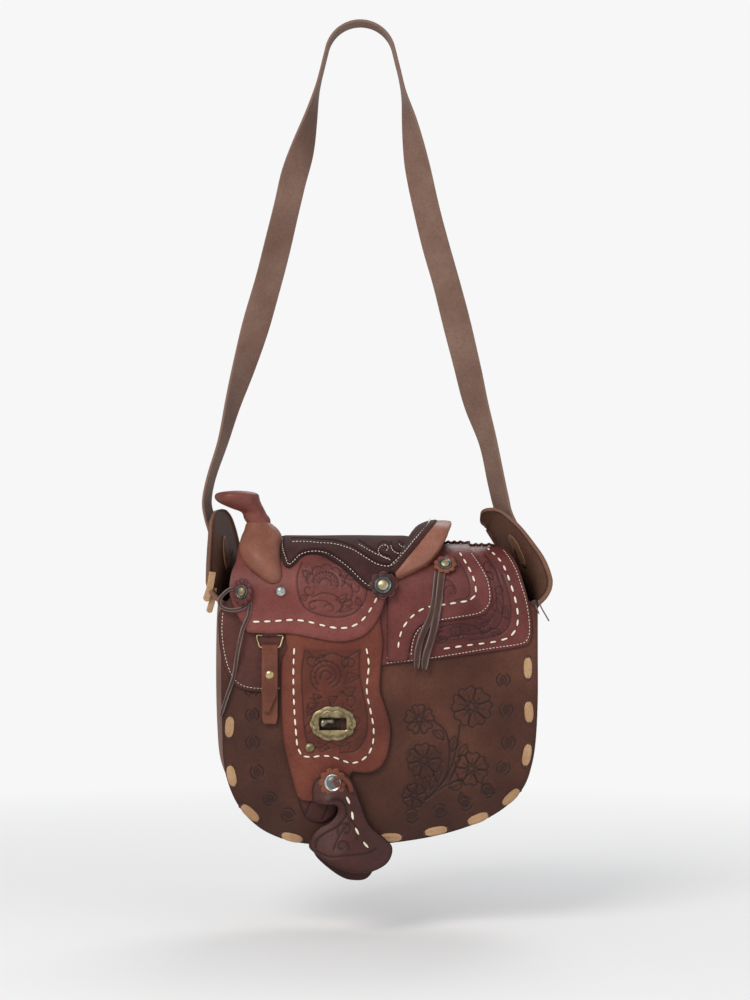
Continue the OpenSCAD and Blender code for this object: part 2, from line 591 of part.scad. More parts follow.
// Horn: a wrapped neck on the swell and a flat cap
neck_px = [[257, 521], [248, 503]];
cap_px = [238, 498];
horn_y = -20;
cap_tilt = -7;
neck_shares = [0.53, 0.4];
cap_under_shares = [0.5, 0.85];
module horn_neck() color([0.42, 0.24, 0.2]) hang() difference() {
    hull() for (i = [0:1]) {
        p = place(neck_px[i]);
        translate([p[0], horn_y, p[1]]) sphere(r = horn_r * neck_shares[i], $fn = 32);
    }
    swell_form(-seat_gap);
    cap_form(seat_gap);
}
module cap_form(grow) {
    p = place(cap_px);
    translate([p[0], horn_y, p[1]]) rotate([0, cap_tilt, 0]) {
        translate([0, 0, -grow]) cylinder(r = horn_r + grow, h = horn_t + 2 * grow);
        translate([0, 0, -horn_t - grow])
            cylinder(r1 = horn_r * cap_under_shares[0] + grow,
                r2 = horn_r * cap_under_shares[1] + grow, h = horn_t);
    }
}
module horn_cap() color([0.42, 0.24, 0.2]) hang() cap_form(0);

// Rosettes, conchos and rivets stand square on the arch's surface
module on_arch(p, off, turn = 0) {
    q = place(p);
    n = arch_n(q[1], half_d + off);
    translate(wrap(q, half_d + off)) rotate([0, 0, turn]) rotate([90 - atan2(n[2], -n[1]), 0, 0])
        children();
}
petals = 9;
scallop_share = 0.07;
module rosette(r) linear_extrude(rosette_t) polygon([for (a = [0:360 / petals / 8:359.9])
    r * (1 - scallop_share + scallop_share * abs(cos(a * petals / 2)) * 2)
    * [cos(a), sin(a)] / (1 + scallop_share)]);
crown_share = 0.6;
module concho(r, post) {
    cylinder(r = r, h = concho_t / 2);
    translate([0, 0, concho_t / 2]) cylinder(r1 = r, r2 = r * crown_share, h = concho_t / 2);
    translate([0, 0, -post]) cylinder(r = pin_r, h = post);
}
pin_r = 1.2;
front_at_px = [241, 592];
seat_at_px = [381, 585];
rear_at_px = [446, 566];
front_turn = -25;
front_share = 1.1;
rear_share = 0.8;
front_r = rosette_r * front_share;
front_stand = 1.4;
front_off = jockey_hi + front_r * sin(-front_turn) + front_stand;
string_lift = stitch_t + 3 * seat_gap;
rear_off = rear_hi + string_lift + thong_t + move_gap;
module bored(r) difference() {
    children();
    translate([0, 0, -over]) cylinder(r = r, h = rosette_t + 2 * over);
}
module rosette_front() color([0.42, 0.2, 0.18]) hang() on_arch(front_at_px, front_off, front_turn)
    bored(pin_r + seat_gap) rosette(front_r);
module rosette_seat() color([0.26, 0.15, 0.13]) hang() on_arch(seat_at_px, seat_hi + seat_gap)
    bored(pin_r + seat_gap) rosette(rosette_r);
module rosette_rear() color([0.26, 0.15, 0.13]) hang() on_arch(rear_at_px, rear_off)
    bored(pin_r + seat_gap) rosette(rosette_r * rear_share);
module concho_front() color([0.5, 0.5, 0.45]) hang() on_arch(front_at_px,
    front_off, front_turn) translate([0, 0, rosette_t + seat_gap])
    concho(concho_r, rosette_t + front_off - jockey_hi - front_stand);
module concho_seat() color([0.6, 0.6, 0.58]) hang() on_arch(seat_at_px, seat_hi + seat_gap)
    translate([0, 0, rosette_t + seat_gap]) concho(concho_r, rosette_t);
module concho_rear() color([0.6, 0.6, 0.58]) hang() on_arch(rear_at_px, rear_off)
    translate([0, 0, rosette_t + seat_gap])
        concho(concho_r * rear_share, rosette_t + rear_off - rear_hi - seat_gap);
dome_r = 5;
dome_px = [281, 591];
dome_share = 1.12;
module dome(r) intersection() {
    translate([0, 0, -r / 2]) sphere(r = r * dome_share);
    cylinder(r = r, h = r);
}
module dome_rivet() color([0.75, 0.75, 0.73]) hang()
    on_arch(dome_px, jockey_hi + seat_gap) dome(dome_r);

// Dee ring: a straight bar in a leather tab, and a bow that hangs from it
dee_px = [270, 635];
dee_stand = 0.6;
dee_bar_off = rear_lo + wire_r + dee_stand;
dee_tilt = 12;
dee_h = 11;
dee_at = [place(dee_px)[0], -half_d - dee_bar_off, place(dee_px)[1]];
tab_h = 9;
tab_lip = 0.4;
module dee_room() translate([dee_at[0] - dee_r - wire_r - move_gap, -2 * half_d, dee_at[2] - 2 * dee_h])
    cube([2 * (dee_r + wire_r + move_gap), 2 * half_d, 2 * dee_h + tab_h - wire_r - seat_gap]);
module dee_tab() color([0.42, 0.2, 0.17]) hang() difference() {
    translate([dee_at[0] - latigo_w / 2, -half_d - jockey_lo + seat_gap, dee_at[2] - wire_r - tab_lip])
        cube([latigo_w, jockey_lo - rear_lo - seat_gap, tab_h]);
    translate([dee_at[0], dee_at[1], dee_at[2]]) rotate([0, 90, 0])
        cylinder(r = wire_r + pin_gap, h = 2 * dee_r, center = true);
}
dee_low = latigo_w / 2 + 2 * wire_r;
corner_share = 1.1;
corner_r = wire_r * corner_share;
dee_side = [dee_r - dee_low, dee_h];
module dee_bar(half) rotate([0, 90, 0]) cylinder(r = wire_r, h = 2 * half, center = true);
module dee_ring() color([0.6, 0.52, 0.3]) hang() translate(dee_at) rotate([-dee_tilt, 0, 0]) {
    dee_bar(dee_r);
    translate([0, 0, -dee_h]) dee_bar(dee_low);
    for (s = [-1, 1]) {
        translate([s * dee_r, 0, 0]) sphere(r = corner_r);
        translate([s * dee_low, 0, -dee_h]) sphere(r = corner_r);
        translate([s * dee_low, 0, -dee_h]) rotate([0, s * atan2(dee_side[0], dee_side[1]), 0])
            cylinder(r = wire_r, h = norm(dee_side));
    }
}

// Latigo: a strap folded round the ring's bow and riveted to itself
fold_at = [dee_at[1] - sin(dee_tilt) * dee_h, dee_at[2] - cos(dee_tilt) * dee_h];
fold_gap = 0.2;
fold_r = wire_r + pin_gap + fold_gap;
latigo_back_h = 65;
latigo_front_h = 48;
latigo_x = dee_at[0];
module latigo() color([0.5, 0.28, 0.18]) hang() difference() {
    translate([latigo_x - latigo_w / 2, 0, 0]) rotate([90, 0, 90]) linear_extrude(latigo_w)
        translate(fold_at) difference() {
            union() {
                circle(fold_r + thong_t);
                translate([-fold_r - thong_t, -latigo_front_h]) square([thong_t, latigo_front_h]);
                translate([fold_r, -latigo_back_h]) square([thong_t, latigo_back_h]);
            }
            circle(fold_r);
            translate([-fold_r, -latigo_back_h]) square([2 * fold_r, latigo_back_h]);
        }
    translate([latigo_x, 0, rivet_z]) rotate([90, 0, 0])
        cylinder(r = pin_r + seat_gap, h = 2 * half_d);
}
latigo_rivet_px = [0, 674];
rivet_z = place(latigo_rivet_px)[1];
rivet_r = 3.6;
module latigo_rivet() color([0.66, 0.56, 0.3]) hang()
    translate([latigo_x, fold_at[0] - fold_r - thong_t - seat_gap, rivet_z]) rotate([90, 0, 0]) {
        cylinder(r1 = rivet_r, r2 = rivet_r * crown_share, h = rivet_r / 3);
        translate([0, 0, -2 * fold_r - 2 * thong_t]) cylinder(r = pin_r,
            h = 2 * fold_r + 2 * thong_t);
    }

// Fender: the long tooled leaf that carries the lock plate
fender_px = [[288, 643], [287, 650.5], [281.5, 655.5], [281, 690], [283, 735], [287, 757],
    [292, 777], [298.5, 797], [309, 801], [322, 799], [336, 797], [346, 790], [349, 778],
    [352, 771.5], [368, 772.5], [380, 767], [388, 752], [390.5, 728], [385, 706], [380, 688], [381.5, 660],
    [383, 643]];
plate_px = [333, 723];
plate_at = place(plate_px);
slot_drop = 0.5;
slot_at = plate_at - [0, slot_drop];
// The key passes the slot with this much room at its end and its long side
key_room = [1, 0.8];
key_at = slot_at + [-slot_w / 2 + key_l / 2 + key_room[0], slot_h / 2 - key_h / 2 - key_room[1]];
boss_r = 3.2;
cut_margin = 1.4;
fender_rivet_px = [310, 747];
fender_rivet_at = place(fender_rivet_px);
stirrup_px = [335, 782];
stirrup_at = place(stirrup_px);
plate_pins_shares = [0.4, 0.12];
plate_pins = [for (x = [-1, 1])
    plate_at + [x * plate_w * plate_pins_shares[0], -plate_h * plate_pins_shares[1]]];
module fender() color([0.46, 0.22, 0.16]) hang() difference() {
    draped(places(fender_px), fender_lo, fender_hi, 0);
    front_view(-half_d - 2 * fender_hi, 0) translate(slot_at)
        square([slot_w + 2 * cut_margin, slot_h + 2 * cut_margin], center = true);
    for (p = concat(plate_pins, [fender_rivet_at])) translate([p[0], 0, p[1]])
        rotate([90, 0, 0]) cylinder(r = pin_r + seat_gap, h = 2 * half_d);
    translate([stirrup_at[0], 0, stirrup_at[1]]) rotate([90, 0, 0])
        cylinder(r = stirrup_pin_r + pin_gap, h = 2 * half_d);
}
fender_row_px = [[294.5, 646], [293.5, 670], [294, 700], [296, 730], [299, 752], [308, 757],
    [322, 755], [336, 757], [350, 763], [362, 760], [371, 750], [374, 732], [371, 712],
    [366.5, 690], [369, 665], [366, 646]];
module fender_lacing() color([0.93, 0.9, 0.82]) hang()
    stitches(open_curve(places(fender_row_px), 4), 33, fender_hi, stitch_size);

// Lock plate: a scalloped oval with a slot, riveted to the fender
plate_lobes = 14;
plate_step = 3;
lobe_share = 0.05;
module lock_plate() color([0.5, 0.44, 0.27]) hang() difference() {
    front_view(-half_d - plate_hi, -half_d - plate_lo) difference() {
        translate(plate_at) polygon([for (a = [0:plate_step:360 - plate_step])
            let (k = 1 - lobe_share + lobe_share * abs(cos(a * plate_lobes / 2)))
            [plate_w / 2 * k * cos(a), plate_h / 2 * k * sin(a)]]);
        translate(slot_at) square([slot_w, slot_h], center = true);
    }
    for (p = plate_pins) translate([p[0], 0, p[1]]) rotate([90, 0, 0])
        cylinder(r = pin_r + seat_gap, h = 2 * half_d);
}
module pin_y(p, from, to, r) translate([p[0], -half_d - from, p[1]]) rotate([90, 0, 0])
    cylinder(r = r, h = to - from);
module lock_rivets() color([0.5, 0.44, 0.27]) hang() for (p = plate_pins) {
    pin_y(p, fender_lo, plate_hi + seat_gap, pin_r);
    pin_y(p, plate_hi + seat_gap, plate_hi + pin_r, 2 * pin_r);
}
module fender_rivet() color([0.6, 0.52, 0.3]) hang() {
    pin_y(fender_rivet_at, skirt_lo, fender_hi + seat_gap, pin_r);
    translate([fender_rivet_at[0], -half_d - fender_hi - seat_gap, fender_rivet_at[1]])
        rotate([90, 0, 0]) dome(dome_r);
}

// Turn lock on the front panel: base, backing washer and key
base_size = [22, 14];
base_t = 1.5;
key_t = 3;
washer_t = 1.2;
module lock_base() color([0.45, 0.4, 0.26]) hang() difference() {
    union() {
        front_view(-half_d - seat_gap - base_t, -half_d - seat_gap)
            translate(key_at) square(base_size, center = true);
        pin_y(key_at, -panel_t - washer_t - seat_gap, seat_gap + base_t, boss_r);
    }
    pin_y(key_at, -half_d, half_d, key_r + pin_gap);
}
module lock_washer() color([0.45, 0.4, 0.26]) hang() difference() {
    front_view(-half_d + panel_t + seat_gap, -half_d + panel_t + seat_gap + washer_t)
        translate(key_at) square(base_size, center = true);
    pin_y(key_at, -half_d, half_d, boss_r + seat_gap);
}
module turn_key() color([0.35, 0.33, 0.28]) hang() {
    pin_y(key_at, -panel_t - washer_t - 3 * seat_gap, plate_hi + over, key_r);
    pin_y(key_at, -panel_t - 2 * washer_t - 3 * seat_gap, -panel_t - washer_t - 3 * seat_gap,
        boss_r);
    front_view(-half_d - plate_hi - over - key_t, -half_d - plate_hi - over) translate(key_at)
        square([key_l, key_h], center = true);
}

// Stirrup: a hooded pair of wings on a concho's pin
stirrup_pin_r = 1.5;
back_lo = fender_hi + move_gap;
back_hi = back_lo + stirrup_t;
hood_lo = back_hi + seat_gap;
hood_r = 105;
hood_tilt = 9;
hood_x_px = 338;
hood_top_px = 769;
hood_px = [[326, 774], [336, 769], [347, 773], [354, 783], [360, 800], [369, 822], [384, 836],
    [391.5, 844], [392, 852], [388, 860], [380, 865.5], [368, 869], [351, 868], [333, 861],
    [321, 853.5], [311, 846.5], [309.5, 841], [313, 832], [321, 823.5], [331, 818.5],
    [337, 812], [338.5, 806], [334, 802.5], [323, 803], [313, 800], [312, 789],
    [316, 779]];
stirrup_back_px = [[328, 776], [336, 771], [345, 775], [352, 788], [360, 808], [374, 832],
    [380, 850], [376, 864], [367, 877], [354, 879], [342, 876], [328, 866.5], [316, 855],
    [312, 845], [322, 832], [338, 820], [338, 806], [330, 794], [326, 784]];
leather_px = [[293, 742], [340, 742], [341, 790], [337, 806], [335, 814], [323, 822],
    [311, 820.5], [303.5, 814], [298, 797], [294, 775]];
module stirrup_hole() pin_y(stirrup_at, 0, half_d, stirrup_pin_r + pin_gap);
module stirrup_leather() color([0.36, 0.18, 0.14]) hang() difference() {
    draped(places(leather_px), skirt_lo, skirt_hi, 0);
    translate([fender_rivet_at[0], 0, fender_rivet_at[1]]) rotate([90, 0, 0])
        cylinder(r = pin_r + seat_gap, h = 2 * half_d);
}
module stirrup_back() color([0.2, 0.1, 0.09]) hang() difference() {
    draped(places(stirrup_back_px), back_lo, back_hi, 0);
    stirrup_hole();
}
hood_top = [place([hood_x_px, 0])[0], -half_d - hood_lo - stirrup_t, place([0, hood_top_px])[1]];
module hood_space(r) translate(hood_top) rotate([-hood_tilt, 0, 0])
    translate([0, hood_r, -3 * half_d]) cylinder(r = r, h = 4 * half_d);
module stirrup_hood() color([0.34, 0.17, 0.15]) hang() difference() {
    intersection() {
        front_view(-3 * half_d, -half_d - hood_lo) polygon(places(hood_px));
        hood_space(hood_r);
    }
    hood_space(hood_r - stirrup_t);
    stirrup_hole();
}
tread_px = [[326, 846], [376, 846], [376, 850], [326, 850]];
module stirrup_tread() color([0.6, 0.45, 0.3]) hang() intersection() {
    front_view(-3 * half_d, -half_d - back_hi - seat_gap) polygon(places(tread_px));
    hood_space(hood_r - stirrup_t - seat_gap);
}
hood_row_px = [[345, 793], [351.5, 805], [353, 819], [359, 833], [368, 844]];
hood_count = 5;
// Where each stitch sits in its pitch, and a point ahead that gives its direction
hood_pitch_shares = [0.5, 0.6];
module stirrup_lacing() color([0.93, 0.9, 0.82]) hang() {
    p = open_curve(places(hood_row_px), 4);
    l = run(p);
    for (i = [0:hood_count - 1]) {
        m = at(p, l, l[len(l) - 1] * (i + hood_pitch_shares[0]) / hood_count)
            - [hood_top[0], hood_top[2]];
        d = at(p, l, l[len(l) - 1] * (i + hood_pitch_shares[1]) / hood_count)
            - [hood_top[0], hood_top[2]] - m;
        turn = asin(m[0] / hood_r);
        translate(hood_top) rotate([-hood_tilt, 0, 0])
            translate([m[0], hood_r * (1 - cos(turn)) - seat_gap, m[1] / cos(hood_tilt)])
                rotate([0, 0, turn]) rotate([0, -atan2(d[1], d[0]), 0]) rotate([90, 0, 0])
                    translate([-stitch_l / 2, -stitch_w / 2, 0]) cube(stitch_size);
    }
}
stirrup_rosette_share = 0.83;
stirrup_rosette_r = rosette_r * stirrup_rosette_share;
stirrup_off = hood_lo + stirrup_t + move_gap
    + tan(hood_tilt) * (hood_top[2] - stirrup_at[1] + stirrup_rosette_r);
module stirrup_rosette() color([0.4, 0.25, 0.18]) hang()
    translate([stirrup_at[0], -half_d - stirrup_off, stirrup_at[1]]) rotate([90, 0, 0])
        bored(stirrup_pin_r + seat_gap) rosette(stirrup_rosette_r);
concho_off = stirrup_off + rosette_t + seat_gap;
module stirrup_concho() color([0.75, 0.74, 0.7]) hang() {
    pin_y(stirrup_at, concho_off, concho_off + concho_t / 2, concho_r);
    pin_y(stirrup_at, fender_lo, concho_off, stirrup_pin_r);
    translate([stirrup_at[0], -half_d - concho_off - concho_t / 2, stirrup_at[1]])
        rotate([90, 0, 0]) cylinder(r1 = concho_r, r2 = concho_r * crown_share, h = concho_t / 2);
}
knot_px = [[331, 776], [336, 774], [345, 779], [349, 785], [344, 787], [337, 782]];
module stirrup_knot() color([0.3, 0.18, 0.13]) hang() {
    y = -half_d - concho_off - concho_t - seat_gap;
    front_view(y - thong_t, y) polygon(places(knot_px));
}

// Saddle strings: thongs tied under the front and rear rosettes, with each point's lift
front_off_low = skirt_hi + move_gap;
string_up = jockey_hi - skirt_hi;
// Widths of the front and rear strings, as shares of a string's width
strings_shares = [0.6, 0.85];
// How far each front strand is lifted onto the jockey, along its points
strand_lift_shares = [1, 1, 1, 1, 1, 1, 1, 1, 1, 0.75, 0.5, 0.25, 0, 0, 0, 0];
loop_lift_shares = [1, 1, 1, 1, 0.7, 0.7, 0.7, 0.7, 0.7, 0.7, 0.7, 0.7, 1, 1, 1, 1];
front_strand_px = [[249, 610], [249.5, 617], [246, 633], [238, 655], [229, 684], [219, 715]];
front_loop_px = [[240, 588], [229, 592], [221, 600], [223, 608], [233, 611.5], [244, 607]];
module front_strings() color([0.3, 0.17, 0.13]) hang()
    thong(open_curve(places(front_strand_px), 3), front_off_low, string_w * strings_shares[0],
        thong_t, string_up * strand_lift_shares);
module front_loop() color([0.3, 0.17, 0.13]) hang()
    thong(open_curve(places(front_loop_px), 3), front_off_low, string_w * strings_shares[0],
        thong_t, string_up * loop_lift_shares);
rear_one_px = [[438, 573], [434, 598], [426, 633], [417, 664]];
rear_two_px = [[446, 573], [442, 600], [435, 634], [427, 665]];
module rear_strings() color([0.24, 0.15, 0.13]) hang() for (list = [rear_one_px, rear_two_px])
    thong(open_curve(places(list), 4), rear_hi + string_lift, string_w * strings_shares[1],
        thong_t, [for (k = [0:12]) 0]);

shoulder_strap();
front_panel();
back_panel();
side_gusset();
front_lacing();
back_lacing();
strap_tie_left();
strap_tie_right();
strap_tongue_left();
strap_tongue_right();
lace_ends_left();
lace_ends_right();
back_skirt();
lock_base();
lock_washer();
turn_key();
skirt();
front_skirt();
saddle_tree();
fender_root();
rear_jockey();
front_jockey();
skirt_lacing();
rear_jockey_lacing();
front_jockey_lacing();
ridge_lacing();
seat_pad();
seat_cover();
swell_core();
swell_cover();
horn_neck();
horn_cap();
cantle();
rosette_front();
rosette_seat();
rosette_rear();
concho_front();
concho_seat();
concho_rear();
dome_rivet();
dee_tab();
dee_ring();
latigo();
latigo_rivet();
fender();
fender_lacing();
lock_plate();
lock_rivets();
fender_rivet();
stirrup_leather();
stirrup_hood();
stirrup_back();
stirrup_tread();
stirrup_lacing();
stirrup_rosette();
stirrup_concho();
stirrup_knot();
front_loop();
front_strings();
rear_strings();
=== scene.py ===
import json
import math
import bmesh
import bpy
import numpy as np
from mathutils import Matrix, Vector
from mathutils.geometry import delaunay_2d_cdt


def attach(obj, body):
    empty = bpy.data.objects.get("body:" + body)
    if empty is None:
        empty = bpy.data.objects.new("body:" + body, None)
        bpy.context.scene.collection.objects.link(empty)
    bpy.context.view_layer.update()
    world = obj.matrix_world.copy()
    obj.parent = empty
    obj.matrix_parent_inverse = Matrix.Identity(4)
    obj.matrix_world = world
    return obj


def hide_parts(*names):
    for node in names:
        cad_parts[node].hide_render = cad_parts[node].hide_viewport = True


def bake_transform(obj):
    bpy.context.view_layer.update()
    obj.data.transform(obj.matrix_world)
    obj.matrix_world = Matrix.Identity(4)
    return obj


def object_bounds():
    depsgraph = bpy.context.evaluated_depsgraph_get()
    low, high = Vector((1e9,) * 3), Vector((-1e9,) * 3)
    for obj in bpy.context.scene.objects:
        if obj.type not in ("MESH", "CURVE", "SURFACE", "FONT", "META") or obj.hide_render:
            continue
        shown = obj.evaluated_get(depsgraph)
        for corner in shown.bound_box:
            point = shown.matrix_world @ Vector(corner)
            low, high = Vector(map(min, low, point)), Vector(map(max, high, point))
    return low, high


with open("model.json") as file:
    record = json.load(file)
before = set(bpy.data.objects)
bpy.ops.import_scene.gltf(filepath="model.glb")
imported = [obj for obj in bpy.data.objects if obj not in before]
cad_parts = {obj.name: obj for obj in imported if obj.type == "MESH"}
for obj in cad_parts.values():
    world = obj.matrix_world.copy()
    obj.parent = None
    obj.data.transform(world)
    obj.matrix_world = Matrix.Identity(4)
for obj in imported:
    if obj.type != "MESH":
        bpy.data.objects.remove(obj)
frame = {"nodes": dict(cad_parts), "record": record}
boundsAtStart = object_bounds()
print("frame loaded", len(frame["nodes"]), "nodes")

# Picture units to metres: the same mapping as the part's source
unitX, unitZ = 0.285 / 317, 0.224 / 249
pegColumn, springRow = 360, 597
dropHeight = 0.494  # from the peg's middle down to the spring line
halfDepth, archHeight, seamDepth = 0.042, 0.001, 0.0078
seamRow = 533  # rows above it lie at the seam behind the ridge


# x and height above the spring line
def place(p):
    return np.array([(p[0] - pegColumn) * unitX, (springRow - p[1]) * unitZ])


def places(points):
    return np.array([place(p) for p in points])


def addObject(name, data):
    obj = bpy.data.objects.new(name, data)
    bpy.context.scene.collection.objects.link(obj)
    return obj


# Camera: level, a little above the flap's middle
picture = {"rows": 1000, "column": 375, "row": 545, "distance": 2.1, "sensor": 36}
cameraData = bpy.data.cameras.new("camera")
camera = addObject("camera", cameraData)
cameraSpot = place((picture["column"], picture["row"]))
camera.location = (cameraSpot[0], -halfDepth - picture["distance"], cameraSpot[1] - dropHeight)
camera.rotation_euler = (math.pi / 2, 0, 0)
cameraData.sensor_fit = "AUTO"
cameraData.sensor_width = picture["sensor"]
cameraData.lens = picture["sensor"] * picture["distance"] / (picture["rows"] * unitZ)
cameraData.shift_y = (picture["row"] - picture["rows"] / 2) / picture["rows"]
bpy.context.scene.camera = camera


# Links a node output to a socket, or sets the socket's plain value
def join(tree, value, target):
    if isinstance(value, Socket):
        tree.links.new(value.out, target)
    else:
        target.default_value = value


# A node output that can be used in sums
class Socket:
    def __init__(self, tree, out):
        self.tree, self.out = tree, out

    def math(self, kind, other, swap=False):
        node = self.tree.nodes.new("ShaderNodeMath")
        node.operation = kind
        for i, part in enumerate([other, self] if swap else [self, other]):
            join(self.tree, part, node.inputs[i])
        return Socket(self.tree, node.outputs[0])

    def __add__(self, other):
        return self.math("ADD", other)

    def __sub__(self, other):
        return self.math("SUBTRACT", other)

    def __rsub__(self, other):
        return self.math("SUBTRACT", other, swap=True)

    def __mul__(self, other):
        return self.math("MULTIPLY", other)

    def __truediv__(self, other):
        return self.math("DIVIDE", other)

    __radd__, __rmul__ = __add__, __mul__

    def clamp(self):
        return self.math("MAXIMUM", 0).math("MINIMUM", 1)

    def step(self, low, high):
        return ((self - low) / (high - low)).clamp()


# A material's tree with one Principled node
class Shader:
    def __init__(self, name):
        self.material = bpy.data.materials.new(name)
        self.material.use_nodes = True
        self.tree = self.material.node_tree
        self.tree.nodes.clear()
        self.output = self.tree.nodes.new("ShaderNodeOutputMaterial")
        self.surface = self.tree.nodes.new("ShaderNodeBsdfPrincipled")
        self.tree.links.new(self.surface.outputs[0], self.output.inputs[0])
        coord = self.tree.nodes.new("ShaderNodeTexCoord")
        self.coord = Socket(self.tree, coord.outputs["Object"])

    def node(self, kind, settings=(), inputs=(), out=0):
        node = self.tree.nodes.new("ShaderNode" + kind)
        for key, value in dict(settings).items():
            setattr(node, key, value)
        for key, value in dict(inputs).items():
            join(self.tree, value, node.inputs[key])
        return Socket(self.tree, node.outputs[out])

    # A point attribute of the mesh, kept between 0 and 1
    def attribute(self, name):
        return self.node("Attribute", {"attribute_name": name}, out="Fac").clamp()

    def noise(self, scale, detail=3, rough=0.55):
        return self.node("TexNoise",
                         inputs={"Vector": self.coord, "Scale": scale, "Detail": detail,
                                 "Roughness": rough})

    def mix(self, amount, a, b):
        node = self.tree.nodes.new("ShaderNodeMix")
        node.data_type = "RGBA"
        for i, value in ((0, amount), (6, a), (7, b)):
            join(self.tree, (*value, 1) if isinstance(value, tuple) else value, node.inputs[i])
        return Socket(self.tree, node.outputs[2])

    def put(self, key, value):
        join(self.tree, (*value, 1) if isinstance(value, tuple) else value, self.surface.inputs[key])

    def bump(self, height, distance, strength):
        self.put("Normal",
                 self.node("Bump", inputs={"Height": height, "Distance": distance, "Strength": strength}))


# Leather or suede: cloudy colour, darkening where a piece asks for it, dark cuts and edges, painted shade
# on the gusset's inner face, a pale rim (a painted highlight on the rosettes), pores and grain
def leather(name, base, dark, light, gloss=0.45, nap=0.0, grain=0.00012, rimShade=None):
    s = Shader(name)
    patch, cloud, fine, creases = s.noise(28, 4, 0.6), s.noise(9), s.noise(
        420, 3, 0.6), s.noise(110, 3, 0.6)
    pores = s.node("TexVoronoi", inputs={"Vector": s.coord, "Scale": 900.0}, out="Distance")
    # One attribute darkens cuts, tooled fields, engraved rings and the painted shade on the gusset's inner
    # face
    carved = s.attribute("carved")
    colour = s.mix(patch.step(0.36, 0.68), base, light)
    # darkening: darker towards the panels' bottom, with cloudy patches
    for share in (cloud.step(0.48, 0.72) * 0.45, fine.step(0.45, 0.75) * 0.3, s.attribute("stain"),
                  carved * 0.9, s.attribute("edge") * 0.7):
        colour = s.mix(share, colour, dark)
    # Pale rim: along the edges of thongs and straps, and a painted highlight on the rosettes' top edge
    s.put("Base Color", s.mix(s.attribute("rim") * 0.75, colour, rimShade or light))
    s.put("Roughness", (patch.step(0.3, 0.7) * 0.14 + (gloss - 0.05) + carved * 0.1).clamp())
    s.put("Sheen Weight", nap)
    s.put("Specular IOR Level", 0.1 if nap else 0.22)
    s.bump(fine * 0.6 + pores * 0.5 + patch * 0.9 + creases * 1.1, grain * 1.5, 0.9)
    return s.material


# Old metal: dark in its cuts and where it is worn, with fine spots
def metal(name, base, dark, rough):
    s = Shader(name)
    wear, spots = s.noise(160, 4, 0.65), s.noise(900, 2)
    colour = s.mix((wear.step(0.4, 0.65) * 0.8).clamp(), base, dark)
    s.put("Base Color", s.mix(s.attribute("carved") * 0.85, colour, dark))
    s.put("Metallic", 1.0)
    s.put("Roughness", (wear.step(0.35, 0.7) * 0.22 + rough).clamp())
    s.bump(spots + wear * 0.5, 0.00004, 0.7)
    return s.material


# Base, dark and light colour as linear values, gloss, nap, grain and the rim's own shade
leatherLooks = {
    "strap_suede": ((0.165, 0.093, 0.07), (0.075, 0.04, 0.03), (0.215, 0.13, 0.1), 0.85, 0.12, 0.0002),
    "bag_leather": ((0.082, 0.027, 0.016), (0.016, 0.006, 0.005), (0.118, 0.041, 0.024), 0.42),
    "gusset_leather": ((0.16, 0.075, 0.048), (0.05, 0.026, 0.019), (0.22, 0.105, 0.065), 0.5),
    "rawhide": ((0.39, 0.225, 0.115), (0.15, 0.075, 0.035), (0.5, 0.31, 0.175), 0.5),
    "maroon_leather": ((0.117, 0.028, 0.025), (0.022, 0.006, 0.006), (0.165, 0.045, 0.04), 0.38),
    "fender_leather": ((0.13, 0.03, 0.018), (0.022, 0.006, 0.005), (0.18, 0.048, 0.028), 0.4),
    "tan_leather": ((0.19, 0.07, 0.046), (0.085, 0.03, 0.02), (0.27, 0.11, 0.072), 0.42),
    "front_skirt_leather": ((0.08, 0.024, 0.019), (0.018, 0.006, 0.005), (0.115, 0.037, 0.029), 0.42),
    "skirt_leather": ((0.108, 0.026, 0.023), (0.022, 0.006, 0.006), (0.155, 0.042, 0.037), 0.38),
    "jockey_leather": ((0.165, 0.043, 0.036), (0.034, 0.01, 0.01), (0.225, 0.065, 0.054), 0.38),
    "horn_leather": ((0.165, 0.048, 0.037), (0.06, 0.018, 0.014), (0.23, 0.078, 0.056), 0.4),
    "cantle_leather": ((0.25, 0.098, 0.064), (0.1, 0.036, 0.024), (0.32, 0.135, 0.09), 0.42),
    "latigo_leather": ((0.112, 0.031, 0.018), (0.04, 0.012, 0.008), (0.175, 0.057, 0.033), 0.4),
    "rosette_leather": ((0.2, 0.062, 0.032), (0.06, 0.018, 0.011), (0.27, 0.09, 0.05), 0.45),
    # dark_leather's rim colour is the pink of the painted highlight on the seat rosette's rim
    "dark_leather": ((0.052, 0.015, 0.012), (0.01, 0.0035, 0.0035), (0.085, 0.026, 0.02), 0.42, 0.0,
                     0.00012, (0.26, 0.14, 0.12)),
    "seat_suede": ((0.045, 0.019, 0.018), (0.016, 0.007, 0.007), (0.07, 0.03, 0.028), 0.95, 0.08, 0.00025,
                   (0.2, 0.13, 0.1)),
    "dark_thong": ((0.05, 0.023, 0.016), (0.016, 0.007, 0.005), (0.085, 0.042, 0.03), 0.7, 0.0, 0.00012,
                   (0.3, 0.25, 0.25)),
    "white_lacing": ((0.78, 0.7, 0.56), (0.46, 0.38, 0.27), (0.85, 0.79, 0.68), 0.5),
    "pad_felt": ((0.35, 0.3, 0.22), (0.2, 0.17, 0.12), (0.45, 0.4, 0.3), 0.9, 0.4),
    "tree_board": ((0.085, 0.032, 0.024), (0.03, 0.011, 0.009), (0.12, 0.05, 0.036), 0.6),
    "tree_wood": ((0.42, 0.27, 0.15), (0.25, 0.15, 0.08), (0.5, 0.34, 0.2), 0.6),}
